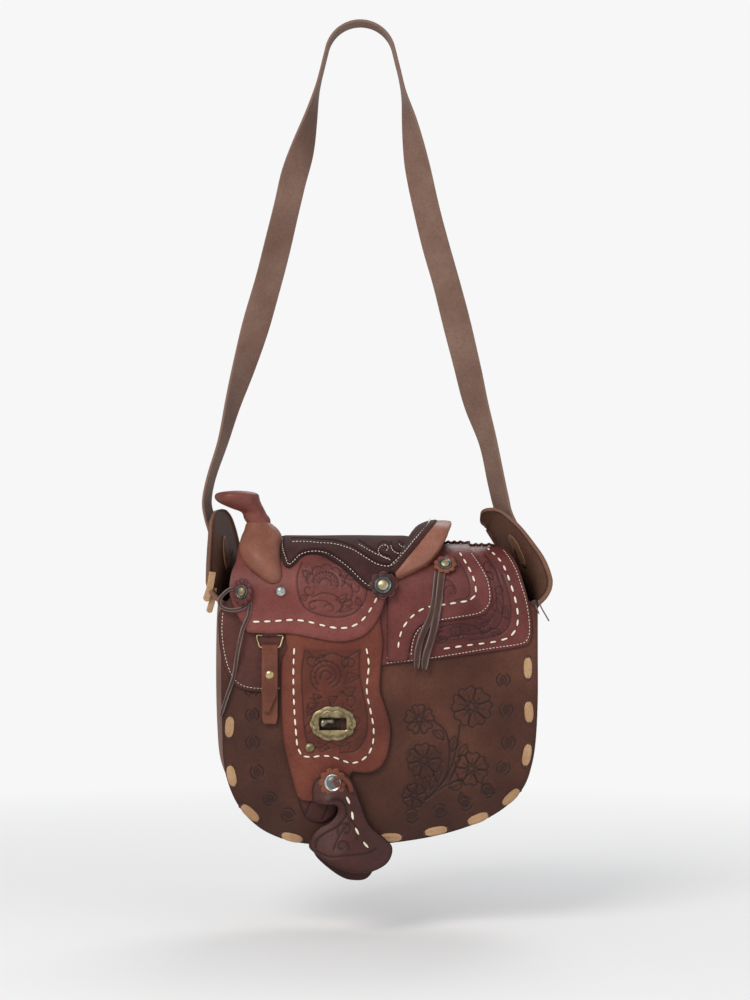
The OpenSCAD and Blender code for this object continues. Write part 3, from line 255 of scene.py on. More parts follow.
# Base and dark colour, roughness
metalLooks = {
    "old_brass": ((0.36, 0.285, 0.16), (0.09, 0.065, 0.035), 0.36),
    "key_brass": ((0.3, 0.26, 0.19), (0.07, 0.055, 0.038), 0.24),
    "black_brass": ((0.05, 0.04, 0.03), (0.02, 0.016, 0.012), 0.5),
    "brass_wire": ((0.55, 0.42, 0.22), (0.2, 0.14, 0.07), 0.26),
    "stone_brass": ((0.5, 0.43, 0.27), (0.2, 0.16, 0.09), 0.3),
    "pewter": ((0.62, 0.61, 0.58), (0.1, 0.11, 0.115), 0.26),
    "dark_pewter": ((0.14, 0.16, 0.165), (0.045, 0.05, 0.052), 0.34),
}
looks = {}
for make, table in ((leather, leatherLooks), (metal, metalLooks)):
    for key, given in table.items():
        first, *others = key.split("_")
        looks[key] = make(first + "".join(word.title() for word in others), *given)
slots = {part["node"]: part["material_slot"] for part in frame["record"]["subparts"]}
for node, obj in frame["nodes"].items():
    obj.data.materials.clear()
    obj.data.materials.append(looks["black_brass" if node == "lock_base" else slots[node]])
print("materials set")


# A smooth curve through points
def curveThrough(points, steps=8, closed=False):
    p = np.array(points, float)
    n = len(p)
    pick = (lambda i: p[i % n]) if closed else (lambda i: p[min(max(i, 0), n - 1)])
    out = []

    def isCorner(i):
        u, v = (pick(i) - pick(i - 1))[:2], (pick(i + 1) - pick(i))[:2]
        return closed and (u * v).sum() < 0.6 * np.linalg.norm(u) * np.linalg.norm(v)

    for i in range(n if closed else n - 1):
        a, b, c, d = pick(i - 1), pick(i), pick(i + 1), pick(i + 2)
        if isCorner(i):
            a = b
        if isCorner(i + 1):
            d = c
        for k in range(steps):
            t = k / steps
            out.append((2 * b + (c - a) * t + (2 * a - 5 * b + 4 * c - d) * t ** 2
                        + (3 * b - a - 3 * c + d) * t ** 3) / 2)
    if not closed:
        out.append(p[-1])
    return np.array(out)


# Points at equal spacing along a line
def resample(line, spacing, closed=False):
    line = np.vstack([line, line[:1]]) if closed else np.array(line)
    lengths = np.concatenate([[0], np.cumsum(np.linalg.norm(np.diff(line, axis=0), axis=1))])
    count = max(int(round(lengths[-1] / spacing)), 3)
    at = np.linspace(0, lengths[-1], count + 1)
    out = np.stack([np.interp(at, lengths, line[:, k]) for k in range(line.shape[1])], axis=1)
    return out[:-1] if closed else out


# Distance from points to a line's stretches
def distanceTo(points, line, closed=False):
    a = np.array(line)
    b = np.roll(a, -1, axis=0) if closed else a[1:]
    a = a if closed else a[:-1]
    d = b - a
    size = np.maximum((d ** 2).sum(1), 1e-18)
    best = np.full(len(points), 1e9)
    for start in range(0, len(points), 4000):
        q = points[start:start + 4000, None, :] - a[None]
        t = np.clip((q * d[None]).sum(2) / size, 0, 1)
        best[start:start + 4000] = np.linalg.norm(q - t[..., None] * d[None], axis=2).min(1)
    return best


def insideOf(points, outline):
    x, y = points[:, 0], points[:, 1]
    found = np.zeros(len(points), bool)
    for a, b in zip(outline, np.roll(outline, -1, axis=0)):
        crosses = (a[1] > y) != (b[1] > y)
        found ^= crosses & (x < (b[0] - a[0]) * (y - a[1]) / (b[1] - a[1] + 1e-15) + a[0])
    return found


# Length along the arch at which its rear seam lies
def seamLength(radius):
    return archHeight + radius * (math.pi / 2 + math.asin(seamDepth / radius))


# Picture points to x and length along the arch
def unroll(points, radius):
    out = []
    for p in points:
        x, z = place(p)
        if p[1] <= seamRow:
            z = seamLength(radius)
        elif z > archHeight:
            z = archHeight + radius * math.asin(min((z - archHeight) / radius, 1))
        out.append((x, z))
    return np.array(out)


# Positions and normals on the arch at an offset from the panel
def wrapRound(flat, off, radius, back=False):
    angle = np.maximum(flat[:, 1] - archHeight, 0) / radius
    size = halfDepth + off
    side = 1 if back else -1
    normal = np.stack([np.zeros(len(flat)), side * np.cos(angle), np.sin(angle)], axis=1)
    spot = np.stack([flat[:, 0], side * size * np.cos(angle),
                     np.minimum(flat[:, 1], archHeight) + size * np.sin(angle)], axis=1)
    return spot, normal


def smooth(mesh):
    for polygon in mesh.polygons:
        polygon.use_smooth = True


def newObject(name, vertices, faces, material):
    mesh = bpy.data.meshes.new(name)
    vertices = np.array(vertices, float) - [0, 0, dropHeight]
    mesh.from_pydata(vertices.tolist(), [], [tuple(int(i) for i in f) for f in faces])
    mesh.materials.append(looks[material])
    smooth(mesh)
    return addObject(name, mesh)


# Attaches a finished piece to its body, or bakes it in place when it spans bodies, and hides the CAD nodes
# that it stands for
def settle(obj, body, nodes=(), across=()):
    if across:
        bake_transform(obj)
    else:
        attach(obj, body)
    if nodes:
        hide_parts(*nodes)
    return obj


def setValues(obj, name, values):
    layer = obj.data.attributes.new(name, "FLOAT", "POINT")
    layer.data.foreach_set("value", np.array(values, np.float32))


def faceOutwards(mesh, merge=0):
    shape = bmesh.new()
    shape.from_mesh(mesh)
    if merge:
        bmesh.ops.remove_doubles(shape, verts=shape.verts[:], dist=merge)
    bmesh.ops.recalc_face_normals(shape, faces=shape.faces[:])
    shape.to_mesh(mesh)
    shape.free()


# Triangles over an outline with inner points; the outline's points come first
def triangulate(outline, inner, holes=()):
    loops = [outline] + [np.array(h) for h in holes]
    points = np.vstack(loops + [inner])
    edges, start = [], 0
    for loop in loops:
        edges += [(start + i, start + (i + 1) % len(loop)) for i in range(len(loop))]
        start += len(loop)
    got = delaunay_2d_cdt([Vector((a, b)) for a, b in points * 1000], edges, [], 0, 1e-6)
    flat = np.array([(v.x, v.y) for v in got[0]]) / 1000
    faces = np.array(got[2])
    middle = flat[faces].mean(1)
    keep = insideOf(middle, outline)
    for hole in holes:
        keep &= ~insideOf(middle, np.array(hole))
    faces = faces[keep]
    a, b, c = flat[faces[:, 0]], flat[faces[:, 1]], flat[faces[:, 2]]
    turn = (b[:, 0] - a[:, 0]) * (c[:, 1] - a[:, 1]) - (b[:, 1] - a[:, 1]) * (c[:, 0] - a[:, 0])
    faces[turn < 0] = faces[turn < 0][:, ::-1]
    return flat, faces


# Slow smooth unevenness, from a few fixed waves
def wobble(flat, scale, seed):
    out = np.zeros(len(flat))
    state = np.random.RandomState(seed)
    for k in range(7):
        angle, phase = state.uniform(0, 2 * math.pi, 2)
        size = scale * state.uniform(0.6, 1.7)
        out += np.sin((flat[:, 0] * math.cos(angle) + flat[:, 1] * math.sin(angle)) / size + phase)
    return out / 7


# Angles of a full turn
def fullTurn(count):
    return np.arange(count) * 2 * math.pi / count


# A skin over rings of equal count; open ends get a middle point
def loft(name, rings, material, body, nodes=(), closed=False, values=None):
    rings = np.array(rings, float)
    m, n = rings.shape[:2]
    vertices = rings.reshape(-1, 3)
    faces = [(r * n + i, r * n + (i + 1) % n, (r + 1) % m * n + (i + 1) % n, (r + 1) % m * n + i)
             for r in range(m if closed else m - 1) for i in range(n)]
    if not closed:
        for r, at in ((0, len(vertices)), (m - 1, len(vertices) + 1)):
            faces += [(r * n + i, r * n + (i + 1) % n, at) for i in range(n)]
        vertices = np.vstack([vertices, rings[0].mean(0), rings[-1].mean(0)])
    obj = newObject(name, vertices, faces, material)
    faceOutwards(obj.data)
    for key, given in (values or {}).items():
        full = np.zeros(len(vertices))
        full[:m * n] = np.broadcast_to(given, (m, n)).ravel()
        setValues(obj, key, full)
    return settle(obj, body, nodes)


def unit(v):
    v = np.array(v, float)
    return v / np.maximum(np.linalg.norm(v, axis=-1, keepdims=True), 1e-12)


# Rounded section of a flat strap, across and through
def flatSection(width, thick, count=5):
    out = []
    for side in (1, -1):
        for k in range(count):
            a = math.pi * (k / (count - 1)) - math.pi / 2
            out.append((side * (width / 2 - thick / 2 + thick / 2 * math.cos(a)),
                        side * thick / 2 * math.sin(a)))
        for k in (0.6, 0.2, -0.2, -0.6):
            out.append((side * (width / 2 - thick / 2) * k, side * thick / 2))
    return np.array(out)


# A flat thong along 3-D points; outs are the directions that its face looks
def ribbon(name, spots, outs, width, thick, material, body, nodes=(), widths=None):
    spots, outs = np.array(spots, float), unit(outs)
    ahead = unit(np.gradient(spots, axis=0))
    outs = unit(outs - ahead * (outs * ahead).sum(1)[:, None])
    across = np.cross(ahead, outs)
    rings = []
    for i in range(len(spots)):
        w = width * (1 if widths is None else widths[i])
        section = flatSection(max(w, thick * 1.02), thick)
        rings.append(spots[i] + across[i] * section[:, :1] + outs[i] * section[:, 1:])
    section = flatSection(width, thick)
    rim = np.clip((np.abs(section[:, 0]) - width / 2 + thick * 0.7) / (thick * 0.7), 0, 1)
    return loft(name, rings, material, body, nodes, values={"rim": rim})


def tube(name, spots, radius, material, body, nodes=(), closed=False, sides=10):
    spots = np.array(spots, float)
    ahead = (np.roll(spots, -1, 0) - np.roll(spots, 1, 0)) if closed else np.gradient(spots, axis=0)
    ahead = unit(ahead)
    side = unit(np.cross(ahead[0], (0.3, 1, 0.2)))
    angles = fullTurn(sides)[:, None]
    rings = []
    for spot, way in zip(spots, ahead):
        side = unit(side - way * side.dot(way))
        rings.append(spot + radius * (np.cos(angles) * side + np.sin(angles) * np.cross(way, side)))
    return loft(name, rings, material, body, nodes, closed=closed)


# A picture point on the arch at an offset, with its outward normal
def archSpot(p, off):
    radius = halfDepth + off
    spot, normal = wrapRound(unroll([p], radius), off, radius)
    return spot[0], normal[0]


# A round fitting from a profile of radius and height, with scalloped edge and petals
def turned(name, profile, spot, normal, material, body, nodes=(), lobes=0, depth=0.0, groove=0.0,
           sides=72, oval=(1, 1), shades=(), pale=0.0):
    normal = unit(normal)
    right = unit(np.cross((0, 0, 1), normal)) * (-1 if normal[1] > 0 else 1)
    up = np.cross(normal, right)
    profile = np.array(profile, float)
    wide = profile[:, 0].max()
    rings, angles = [], fullTurn(sides)
    lobe = np.abs(np.cos(angles * lobes / 2)) ** 0.8 if lobes else np.ones(sides)
    for r, h in profile:
        share = (r / wide) ** 2
        size = r * (1 - depth * share * (1 - lobe))
        high = h - groove * share * (1 - lobe) * (1 if h > 0 else 0)
        rings.append(spot + (size * np.cos(angles) * oval[0])[:, None] * right
                     + (size * np.sin(angles) * oval[1])[:, None] * up + high[:, None] * normal)
    values = {}
    if shades:
        values["carved"] = np.array(shades, float)[:, None]
        # pale lightens the ring left undarkened: a painted highlight on the rosettes' rims
        values["rim"] = pale * (values["carved"] == 0)
    return loft(name, rings, material, body, nodes, values=values)


def domeProfile(radius, height, steps=8):
    out = [(radius * 0.98, -0.0006), (radius, 0)]
    for k in range(1, steps + 1):
        a = math.pi / 2 * k / steps
        out.append((max(radius * math.cos(a), radius * 0.02), height * math.sin(a)))
    return out


# What a sheet has unless its own dictionary says otherwise, and how strokes are pressed into it
sheetUsual = {"fine": 0.0011, "coarse": 0.0034, "wave": 0.00015, "bevel": 0.0006, "smoothSteps": 6}
carving = {"edgeStep": 0.0016, "holeStep": 0.0012, "reach": 3, "near": 2.6, "press": 1.6, "lip": 0.22,
           "lipAt": 1.7, "lipPress": 3, "edgeKeep": 0.0015, "fieldDrop": 0.00025}


# Staggered points inside an outline
def pointGrid(edge, cell):
    low, high = edge.min(0), edge.max(0)
    heights = np.arange(low[1], high[1], cell * 0.866)
    gx, gz = np.meshgrid(np.arange(low[0], high[0], cell), heights)
    gx = gx + (np.arange(len(heights)) % 2)[:, None] * cell / 2
    points = np.stack([gx.ravel(), gz.ravel()], axis=1)
    return points[insideOf(points, edge)]


# Which points lie in a stroke's box, with some widths of reach
def inBox(points, path, width):
    reach = carving["reach"] * width
    return ((points >= path.min(0) - reach) & (points <= path.max(0) + reach)).all(1)


# Inner points of a sheet: coarse over the field and fine along the strokes
def innerPoints(edge, away, cuts, fine, coarse):
    inner = pointGrid(edge, coarse)
    inner = inner[away(inner) > coarse * 0.6]
    if not cuts:
        return inner
    close = pointGrid(edge, fine)
    near = np.zeros(len(close), bool)
    for path, width, _ in cuts:
        index = np.nonzero(inBox(close, path, width) & ~near)[0]
        if len(index):
            near[index[distanceTo(close[index], path) < carving["near"] * width]] = True
    close = close[near]
    if len(close):
        close = close[away(close) > fine * 0.8]
        keys = set(map(tuple, np.round(close / coarse).astype(int)))
        keep = [tuple(k) not in keys for k in np.round(inner / coarse).astype(int)]
        inner = np.vstack([inner[keep], close])
    return inner


# Rings of points on both sides of every edge, where the rim rolls over
def rimPoints(loops, away, bevel):
    rings = []
    for loop in loops:
        ahead = np.roll(loop, -1, axis=0) - np.roll(loop, 1, axis=0)
        normal = unit(np.stack([-ahead[:, 1], ahead[:, 0]], axis=1))
        for size in (bevel * 0.45, bevel * 1.3):
            for way in (1, -1):
                ring = loop + normal * size * way
                good = insideOf(ring, loops[0])
                for hole in loops[1:]:
                    good &= ~insideOf(ring, hole)
                ring = ring[good]
                rings.append(ring[away(ring) > size * 0.8])
    return rings


# Presses the strokes into the height, and gives how dark each point is
def pressCuts(flat, gap, cuts, height):
    carved = np.zeros(len(flat))
    for path, width, depth in cuts:
        index = np.nonzero(inBox(flat, path, width))[0]
        if len(index):
            share = distanceTo(flat[index], path) / width
            pressed = np.exp(-share ** 2 * carving["press"])
            lip = np.exp(-(share - carving["lipAt"]) ** 2 * carving["lipPress"])
            height[index] -= depth * pressed * np.clip(gap[index] / carving["edgeKeep"], 0, 1)
            height[index] += depth * carving["lip"] * lip
            carved[index] = np.maximum(carved[index], pressed)
    return carved


# A leather piece on the arch: carved outer face, rounded edge, plain back
def leatherSheet(name, nodes, body, piece, strokes=None, back=False, holes=(), puff=None, surface=None,
                 across=()):
    given = {**sheetUsual, **piece}
    low, high, bevel, material = given["low"], given["high"], given["bevel"], given["look"]
    radius = halfDepth + (low + high) / 2
    lay = places if surface else (lambda points: unroll(points, radius))
    put = surface or (lambda points, off: wrapRound(points, off, radius, back))
    line = curveThrough(lay(given["outline"]), given["smoothSteps"], True)
    line[:, 1] = np.minimum(line[:, 1], seamLength(radius))
    edge = resample(line, carving["edgeStep"], True)
    loops = [edge] + [resample(np.array(h), carving["holeStep"], True) for h in holes]
    away = (lambda q: np.min([distanceTo(q, loop, True) for loop in loops], axis=0))
    cuts = [(lay(cut["path"]), cut["width"], cut["depth"]) for cut in strokes or tooling(piece)]
    inner = innerPoints(edge, away, cuts, given["fine"], given["coarse"])
    inner = inner[away(inner) > bevel * 1.9]
    flat, faces = triangulate(edge, np.vstack([inner] + rimPoints(loops, away, bevel)), loops[1:])
    gap = away(flat)
    roll = np.clip(1 - gap / bevel, 0, 1)
    height = -bevel * (1 - np.sqrt(np.maximum(1 - roll ** 2, 0)))
    carved = pressCuts(flat, gap, cuts, height)
    if "field" in given:
        area = lay(curveThrough(given["field"]["outline"], 5, True))
        deep = np.where(insideOf(flat, area), distanceTo(flat, area, True), 0)
        shade = given["field"]["amount"] * np.clip(deep / 0.003, 0, 1)
        shade = shade * (0.75 + 0.5 * wobble(flat, 0.004, 77))
        carved = np.maximum(carved, shade)
        height -= carving["fieldDrop"] * np.clip(deep / 0.001, 0, 1)
    # Darker towards the bottom, with cloudy dark patches
    stain = np.zeros(len(flat))
    if "fade" in given:
        fade = given["fade"]
        start = places([(0, fade["from"])])[0, 1]
        share = np.clip((flat[:, 1] - start) / ((fade["from"] - fade["to"]) * unitZ), 0, 1)
        stain = fade["amount"] * share + fade["cloud"] * np.clip(wobble(flat, 0.02, 51) * 2, 0, 1)
    seed = len(name) * 7 + len(given["outline"])
    height += wobble(flat, 0.014, seed) * given["wave"] * np.clip(gap / 0.006, 0, 1)
    if puff:
        height += puff(flat, gap)
    spot, _ = put(flat, high + height)
    floor, _ = put(flat, low + np.zeros(len(flat)))
    count = len(flat)
    sides = [(a, b) for f in faces for a, b in ((f[0], f[1]), (f[1], f[2]), (f[2], f[0]))]
    known = set(sides)
    rim = [(a, b) for a, b in dict.fromkeys(sides) if (b, a) not in known]
    if back:
        faces = faces[:, ::-1]
        walls = [(a, b, b + count, a + count) for a, b in rim]
    else:
        walls = [(b, a, a + count, b + count) for a, b in rim]
    allFaces = list(faces) + list(faces[:, ::-1] + count) + walls
    obj = newObject(name, np.vstack([spot, floor]), allFaces, material)
    setValues(obj, "carved", np.concatenate([carved, np.zeros(count)]))
    setValues(obj, "stain", np.concatenate([stain, stain]))
    setValues(obj, "edge", np.concatenate([np.exp(-gap / 0.0011), np.ones(count) * 0.35]))
    return settle(obj, body, nodes, across)


def stroke(points, width=0.0009, depth=0.00055, steps=6, closed=False):
    path = curveThrough(points, steps, closed)
    return {"path": np.vstack([path, path[:1]]) if closed else path, "width": width, "depth": depth}


# A point at an angle and two distances along it and across it
def turnedSpot(centre, degrees, u, v=0.0):
    t = math.radians(degrees)
    return (centre[0] + u * math.cos(t) - v * math.sin(t), centre[1] + u * math.sin(t) + v * math.cos(t))


def ringPoints(centre, rx, rz, turn=0.0, count=20, start=0.0, sweep=360.0):
    angles = [math.radians(start + sweep * k / count) for k in range(count + 1)]
    return [turnedSpot(centre, turn, rx * math.cos(a), rz * math.sin(a)) for a in angles]


# Petals with notched tips, short veins and a stamped middle
def flower(column, row, size, petals, turn, width=0.0009, depth=0.0006):
    centre, out = (column, row), []
    shape = [(0.22, 0), (0.45, 0.26), (0.78, 0.42), (0.98, 0.25), (0.88, 0.0), (0.98, -0.25),
             (0.78, -0.42), (0.45, -0.26), (0.22, 0)]
    for k in range(petals):
        a = math.radians(turn + 360 * k / petals)
        ca, sa = math.cos(a), math.sin(a)
        out.append(stroke([(centre[0] + size * (u * ca - v * sa), centre[1] + size * (u * sa + v * ca))
                           for u, v in shape], width, depth, 4))
        out.append(stroke([(centre[0] + size * u * ca, centre[1] + size * u * sa) for u in (0.3, 0.62)],
                          width * 0.7, depth * 0.6, 2))
    out.append(stroke(ringPoints(centre, size * 0.17, size * 0.17, count=10), width, depth, 2))
    return out


# A spiral from its outer to its inner radius
def scroll(centre, outer, inner, start, sweep, width=0.0009, depth=0.0005):
    points = []
    count = max(int(abs(sweep) / 22), 4)
    for k in range(count + 1):
        t = k / count
        a = math.radians(start + sweep * t)
        r = outer + (inner - outer) * t
        points.append((centre[0] + r * math.cos(a), centre[1] + r * math.sin(a)))
    return [stroke(points, width, depth, 3)]


# A leaf of two edges and a vein
def leaf(base, tip, bend, wide, width=0.0008, depth=0.0005):
    b, t = np.array(base, float), np.array(tip, float)
    along = t - b
    across = np.array([-along[1], along[0]])
    mid = b + along * 0.5 + across * bend
    left, right = mid + across * wide, mid - across * wide
    return [stroke([b, left, t], width, depth), stroke([b, right, t], width, depth),
            stroke([b, mid, b + along * 0.8 + across * bend * 0.6], width * 0.7, depth * 0.6)]


# The border's stamp: an oval between two brackets
def eyeStamp(column, row, turn):
    def spot(u, v):
        return turnedSpot((column, row), turn, u, v)

    out = [stroke([spot(4.2 * math.cos(a), 2.6 * math.sin(a)) for a in np.linspace(0, 2 * math.pi, 13)],
                  0.0008, 0.0005, 2)]
    for side in (-1, 1):
        bracket = [spot(-6, side * 3.2), spot(-2.5, side * 6.2), spot(2.5, side * 6.2), spot(6, side * 3.2)]
        out.append(stroke(bracket, 0.0009, 0.0005, 3))
    out.append(stroke([spot(-1.5, 0), spot(1.5, 0)], 0.0009, 0.0006, 2))
    return out


# Short cuts round a centre, from one radius to another
def rays(centre, inner, outer, start, step, count, depth):
    angles = [math.radians(start + step * k) for k in range(count)]
    return [stroke([(centre[0] + r * math.cos(a), centre[1] + r * math.sin(a)) for r in (inner, outer)],
                   0.0006, depth, 2) for a in angles]


# Part of an oval's line
def arc(centre, rx, rz, turn, count, start, sweep, steps):
    return [stroke(ringPoints(centre, rx, rz, turn, count, start, sweep), 0.0009, 0.0005, steps)]


# All strokes of a piece, in the order of its dictionary
def tooling(piece):
    makers = {"stamps": eyeStamp, "flowers": flower, "scrolls": scroll, "leaves": leaf, "rays": rays,
              "arcs": arc, "petals": arc}
    out = []
    for kind, table in piece.items():
        if kind in ("lines", "stems", "ticks"):
            out += [stroke(*given) for given in table]
        elif kind in makers:
            for given in table:
                out += makers[kind](*given)
    return out


# Front and back panel with the front's tooling
# Both panels darken towards the bottom, with cloudy patches
fade = {"from": 690, "to": 810, "amount": 0.42, "cloud": 0.25}
panel = {
    "low": -0.0024, "high": 0, "look": "bag_leather", "fine": 0.0009, "coarse": 0.004, "bevel": 0.0008,
    "fade": fade,
    "outline": [
        (221, 601), (221, 640), (221, 690), (222, 730), (223, 758), (227, 780), (236, 802), (250, 820),
        (270, 834), (300, 843), (345, 846), (392, 843), (440, 835), (480, 822), (507, 806), (524, 787),
        (532, 765), (536, 740), (538, 700), (538, 650), (538, 601)],
    "stamps": [
        (252, 690, 80), (252.5, 715, 82), (252.5, 743, 85), (257, 772, 70), (270, 799, 45),
        (288, 815, 25), (503.5, 680, 92), (506.3, 710, 92), (508.5, 743, 88), (503.5, 768, 105),
        (488, 791, 130), (465.5, 804, 160), (440, 811, 165), (412, 816, 172)],
    "flowers": [(472, 707, 20.5, 6, 12), (419.5, 719.5, 15, 5, 50), (424.5, 761, 17.5, 6, 20),
                (471.5, 769, 17, 6, 35), (414.5, 796, 12.5, 6, 15)],
    "stems": [
        ([(424, 801), (438, 788), (451, 768), (457, 746), (460, 725)], 0.0011, 0.0006),
        ([(434, 721), (445, 731), (449.5, 750), (446, 778), (434, 792)], 0.0011, 0.0006),
        ([(450, 781), (456, 768), (461, 757)], 0.0011, 0.0006),
        ([(427, 800), (444, 787), (462, 779)], 0.0011, 0.0006)],
    "leaves": [
        ((452, 752), (455, 736), 0.0, 0.3), ((458, 757), (467, 744), 0.1, 0.28),
        ((449, 788), (463, 781), 0.1, 0.3), ((444, 740), (433, 731), 0.1, 0.3),
        ((482, 784), (493, 794), 0.0, 0.35), ((431, 790), (434, 775), 0.1, 0.26),
        ((437, 783), (441, 766), -0.1, 0.22), ((424, 792), (425, 778), 0.1, 0.25),
        ((461, 792), (467, 807), 0.1, 0.25)],
    "field": {
        "outline": [(405, 752), (416, 740), (434, 745), (448, 735), (462, 740), (466, 752), (455, 775),
                    (447, 795), (430, 808), (408, 812), (403, 798), (408, 780)],
        "amount": 0.4}}
backPanel = {"low": -0.0024, "high": 0, "look": "bag_leather", "coarse": 0.005, "fade": fade,
             "outline": panel["outline"]}
leatherSheet("frontPanel", ["front_panel"], "bag", panel)
leatherSheet("backPanel", ["back_panel"], "bag", backPanel, back=True)
print("panels built")

# Skirts
skirt = {
    "low": 0.0003, "high": 0.0026, "look": "skirt_leather",
    "outline": [
        (291, 532), (345, 532), (400, 532), (450, 532), (497, 532), (500, 544), (507, 549.5),
        (513.5, 557), (518.5, 567), (523, 581), (527.5, 597), (530.5, 612), (532, 628), (530.5, 640),
        (525, 645.5), (500, 650.5), (460, 656), (420, 661), (385, 665), (340, 668), (291, 668),
        (291, 620), (291, 575)],
    "lines": [
        ([(486, 556), (494, 566), (500, 582), (503, 600), (502, 616), (496, 628), (480, 633), (455, 636),
          (440, 641)], 0.0011, 0.0006), ([(480, 625), (492, 618), (497, 604), (495, 588)], 0.001, 0.0005),
        ([(440, 627), (458, 624), (474, 626), (484, 634)], 0.001, 0.0005),
        ([(503, 575), (508, 592), (511, 612), (507, 628), (495, 636), (470, 640)], 0.0009, 0.0005)],
    "scrolls": [
        (spot, size, 2.5, start, sweep, 0.0009, 0.0006)
        for spot, size, start, sweep in (((489, 566), 6.5, 60, 320), ((457, 633), 8, 180, 300),
                                         ((499, 590), 5, 120, -300), ((484, 629), 6, 0, 300),
                                         ((441, 634), 5, 40, 280))],
    "ticks": [([(452 + 4 * k, 630), (451.5 + 4 * k, 637)], 0.0007, 0.0005, 2) for k in range(4)],
    "leaves": [
        ((497, 598), (503, 614), 0.2, 0.28), ((490, 622), (474, 629), 0.15, 0.28),
        ((494, 580), (486, 572), 0.1, 0.3), ((490, 628), (502, 634), 0.1, 0.28),
        ((470, 631), (460, 626), 0.1, 0.3), ((448, 640), (436, 643), 0.15, 0.28),
        ((505, 606), (508, 620), 0.1, 0.25)],
    "field": {
        "outline": [
            (483, 553), (491, 556), (502, 570), (508, 588), (512, 610), (510, 627), (500, 636),
            (470, 641), (437, 646), (438, 622), (476, 618), (490, 611), (493, 596), (489, 576)],
        "amount": 0.5}}
frontSkirt = {
    "low": 0.0003, "high": 0.0026, "look": "front_skirt_leather",
    "outline": [
        (241, 532), (240, 568), (236, 588), (227, 601), (219, 613), (218.5, 632), (221, 655), (227, 674),
        (236, 686), (250, 691), (270, 692), (290.7, 690), (290.7, 640), (290.7, 580), (290.7, 532),
        (265, 532)]}
backSkirt = {
    "low": 0.0001, "high": 0.0024, "look": "maroon_leather",
    "outline": [
        (241, 532), (240, 568), (234, 592), (227, 612), (224, 632), (226, 646), (234, 655), (290, 660),
        (380, 662), (470, 660), (522, 655), (530, 646), (533, 632), (528, 612), (518, 592), (506, 568),
        (498, 548), (497, 532), (440, 532), (370, 532), (300, 532)]}
leatherSheet("skirtSheet", ["skirt"], "flap", skirt)
leatherSheet("frontSkirtSheet", ["front_skirt"], "flap", frontSkirt)
leatherSheet("backSkirtSheet", ["back_skirt"], "bag", backSkirt, back=True)

# Jockeys; the front one has a sunflower in its middle
rearJockey = {
    "low": 0.0027, "high": 0.0049, "look": "maroon_leather",
    "outline": [
        (387.5, 532), (387.5, 600), (387.5, 661), (398, 661.5), (407.5, 660.5), (409.5, 648), (413, 636),
        (420, 626), (437, 622), (477, 616.5), (488, 610), (492, 596), (488.5, 577), (480, 561),
        (472, 549), (469, 532), (430, 532)],
    "scrolls": [((447, 590), 14, 5, 160, 250, 0.0008, 0.0003),
                ((452, 592), 9, 3, 160, 230, 0.0008, 0.0003)],
    "lines": [([(455, 558), (467, 575), (469, 595), (455, 600)], 0.0008, 0.0003)],
    "field": {"outline": [(456, 556), (463, 563), (470, 578), (471, 594), (462, 598), (446, 599),
                          (446, 575)],
              "amount": 0.38}}
sunflower = (326, 584)
frontJockey = {
    "low": 0.0057, "high": 0.0079, "look": "jockey_leather",
    "outline": [
        (238, 532), (236, 558), (231.5, 572), (229.5, 590), (234, 607), (241, 621), (248, 632.5),
        (268, 633.5), (290, 633.5), (312, 637.5), (335, 641.5), (352, 640), (367, 633), (379, 617),
        (385, 600), (388, 588), (392, 577), (398, 567), (405, 556), (412, 546), (417, 532), (360, 532),
        (300, 532)],
    "arcs": [(sunflower, size, size * 0.95, 0, 20, 190, 185, 6) for size in (6, 13)],
    "rays": [(sunflower, 7.5, 12.5, 192, 16, 12, 0.0005)],
    "petals": [(turnedSpot(sunflower, 200 + 37 * k, 15.5), 5.4, 4.4, 290 + 37 * k, 8, 180, 180, 3)
               for k in range(5)],
    "lines": [
        ([(302, 562), (298, 576), (298.5, 592), (304, 606), (318, 614), (338, 617), (354, 613),
          (364, 602), (368, 588)], 0.001, 0.0005),
        ([(312, 597), (324, 593), (336, 596), (342, 606), (336, 613)], 0.0009, 0.0005),
        ([(310, 603), (322, 600), (331, 604)], 0.0009, 0.0005),
        ([(343, 581), (352, 588), (351, 599), (343, 603)], 0.0009, 0.0005)],
    "scrolls": [
        (spot, 6, 2, start, sweep, 0.0009, 0.0005)
        for spot, start, sweep in (((309, 590), 20, 300), ((357, 588), 220, -280), ((349, 604), 150, 300),
                                   ((314, 606), 300, -280), ((330, 609), 200, 260))],
    "leaves": [
        ((340, 575), (350, 567), 0.15, 0.28), ((346, 578), (360, 578), -0.15, 0.28),
        ((309, 580), (303, 570), 0.15, 0.3), ((336, 600), (347, 594), 0.2, 0.3),
        ((357, 597), (362, 606), 0.1, 0.3), ((308, 596), (301, 601), 0.1, 0.35),
        ((340, 612), (352, 609), -0.2, 0.28)],
    "field": {
        "outline": [(301, 560), (296, 576), (297, 594), (303, 609), (320, 617), (340, 620), (357, 615),
                    (368, 602), (371, 588), (356, 572), (334, 558), (316, 555)],
        "amount": 0.25}}
leatherSheet("rearJockeySheet", ["rear_jockey"], "flap", rearJockey)
leatherSheet("frontJockeySheet", ["front_jockey"], "flap", frontJockey)
print("skirts and jockeys built")
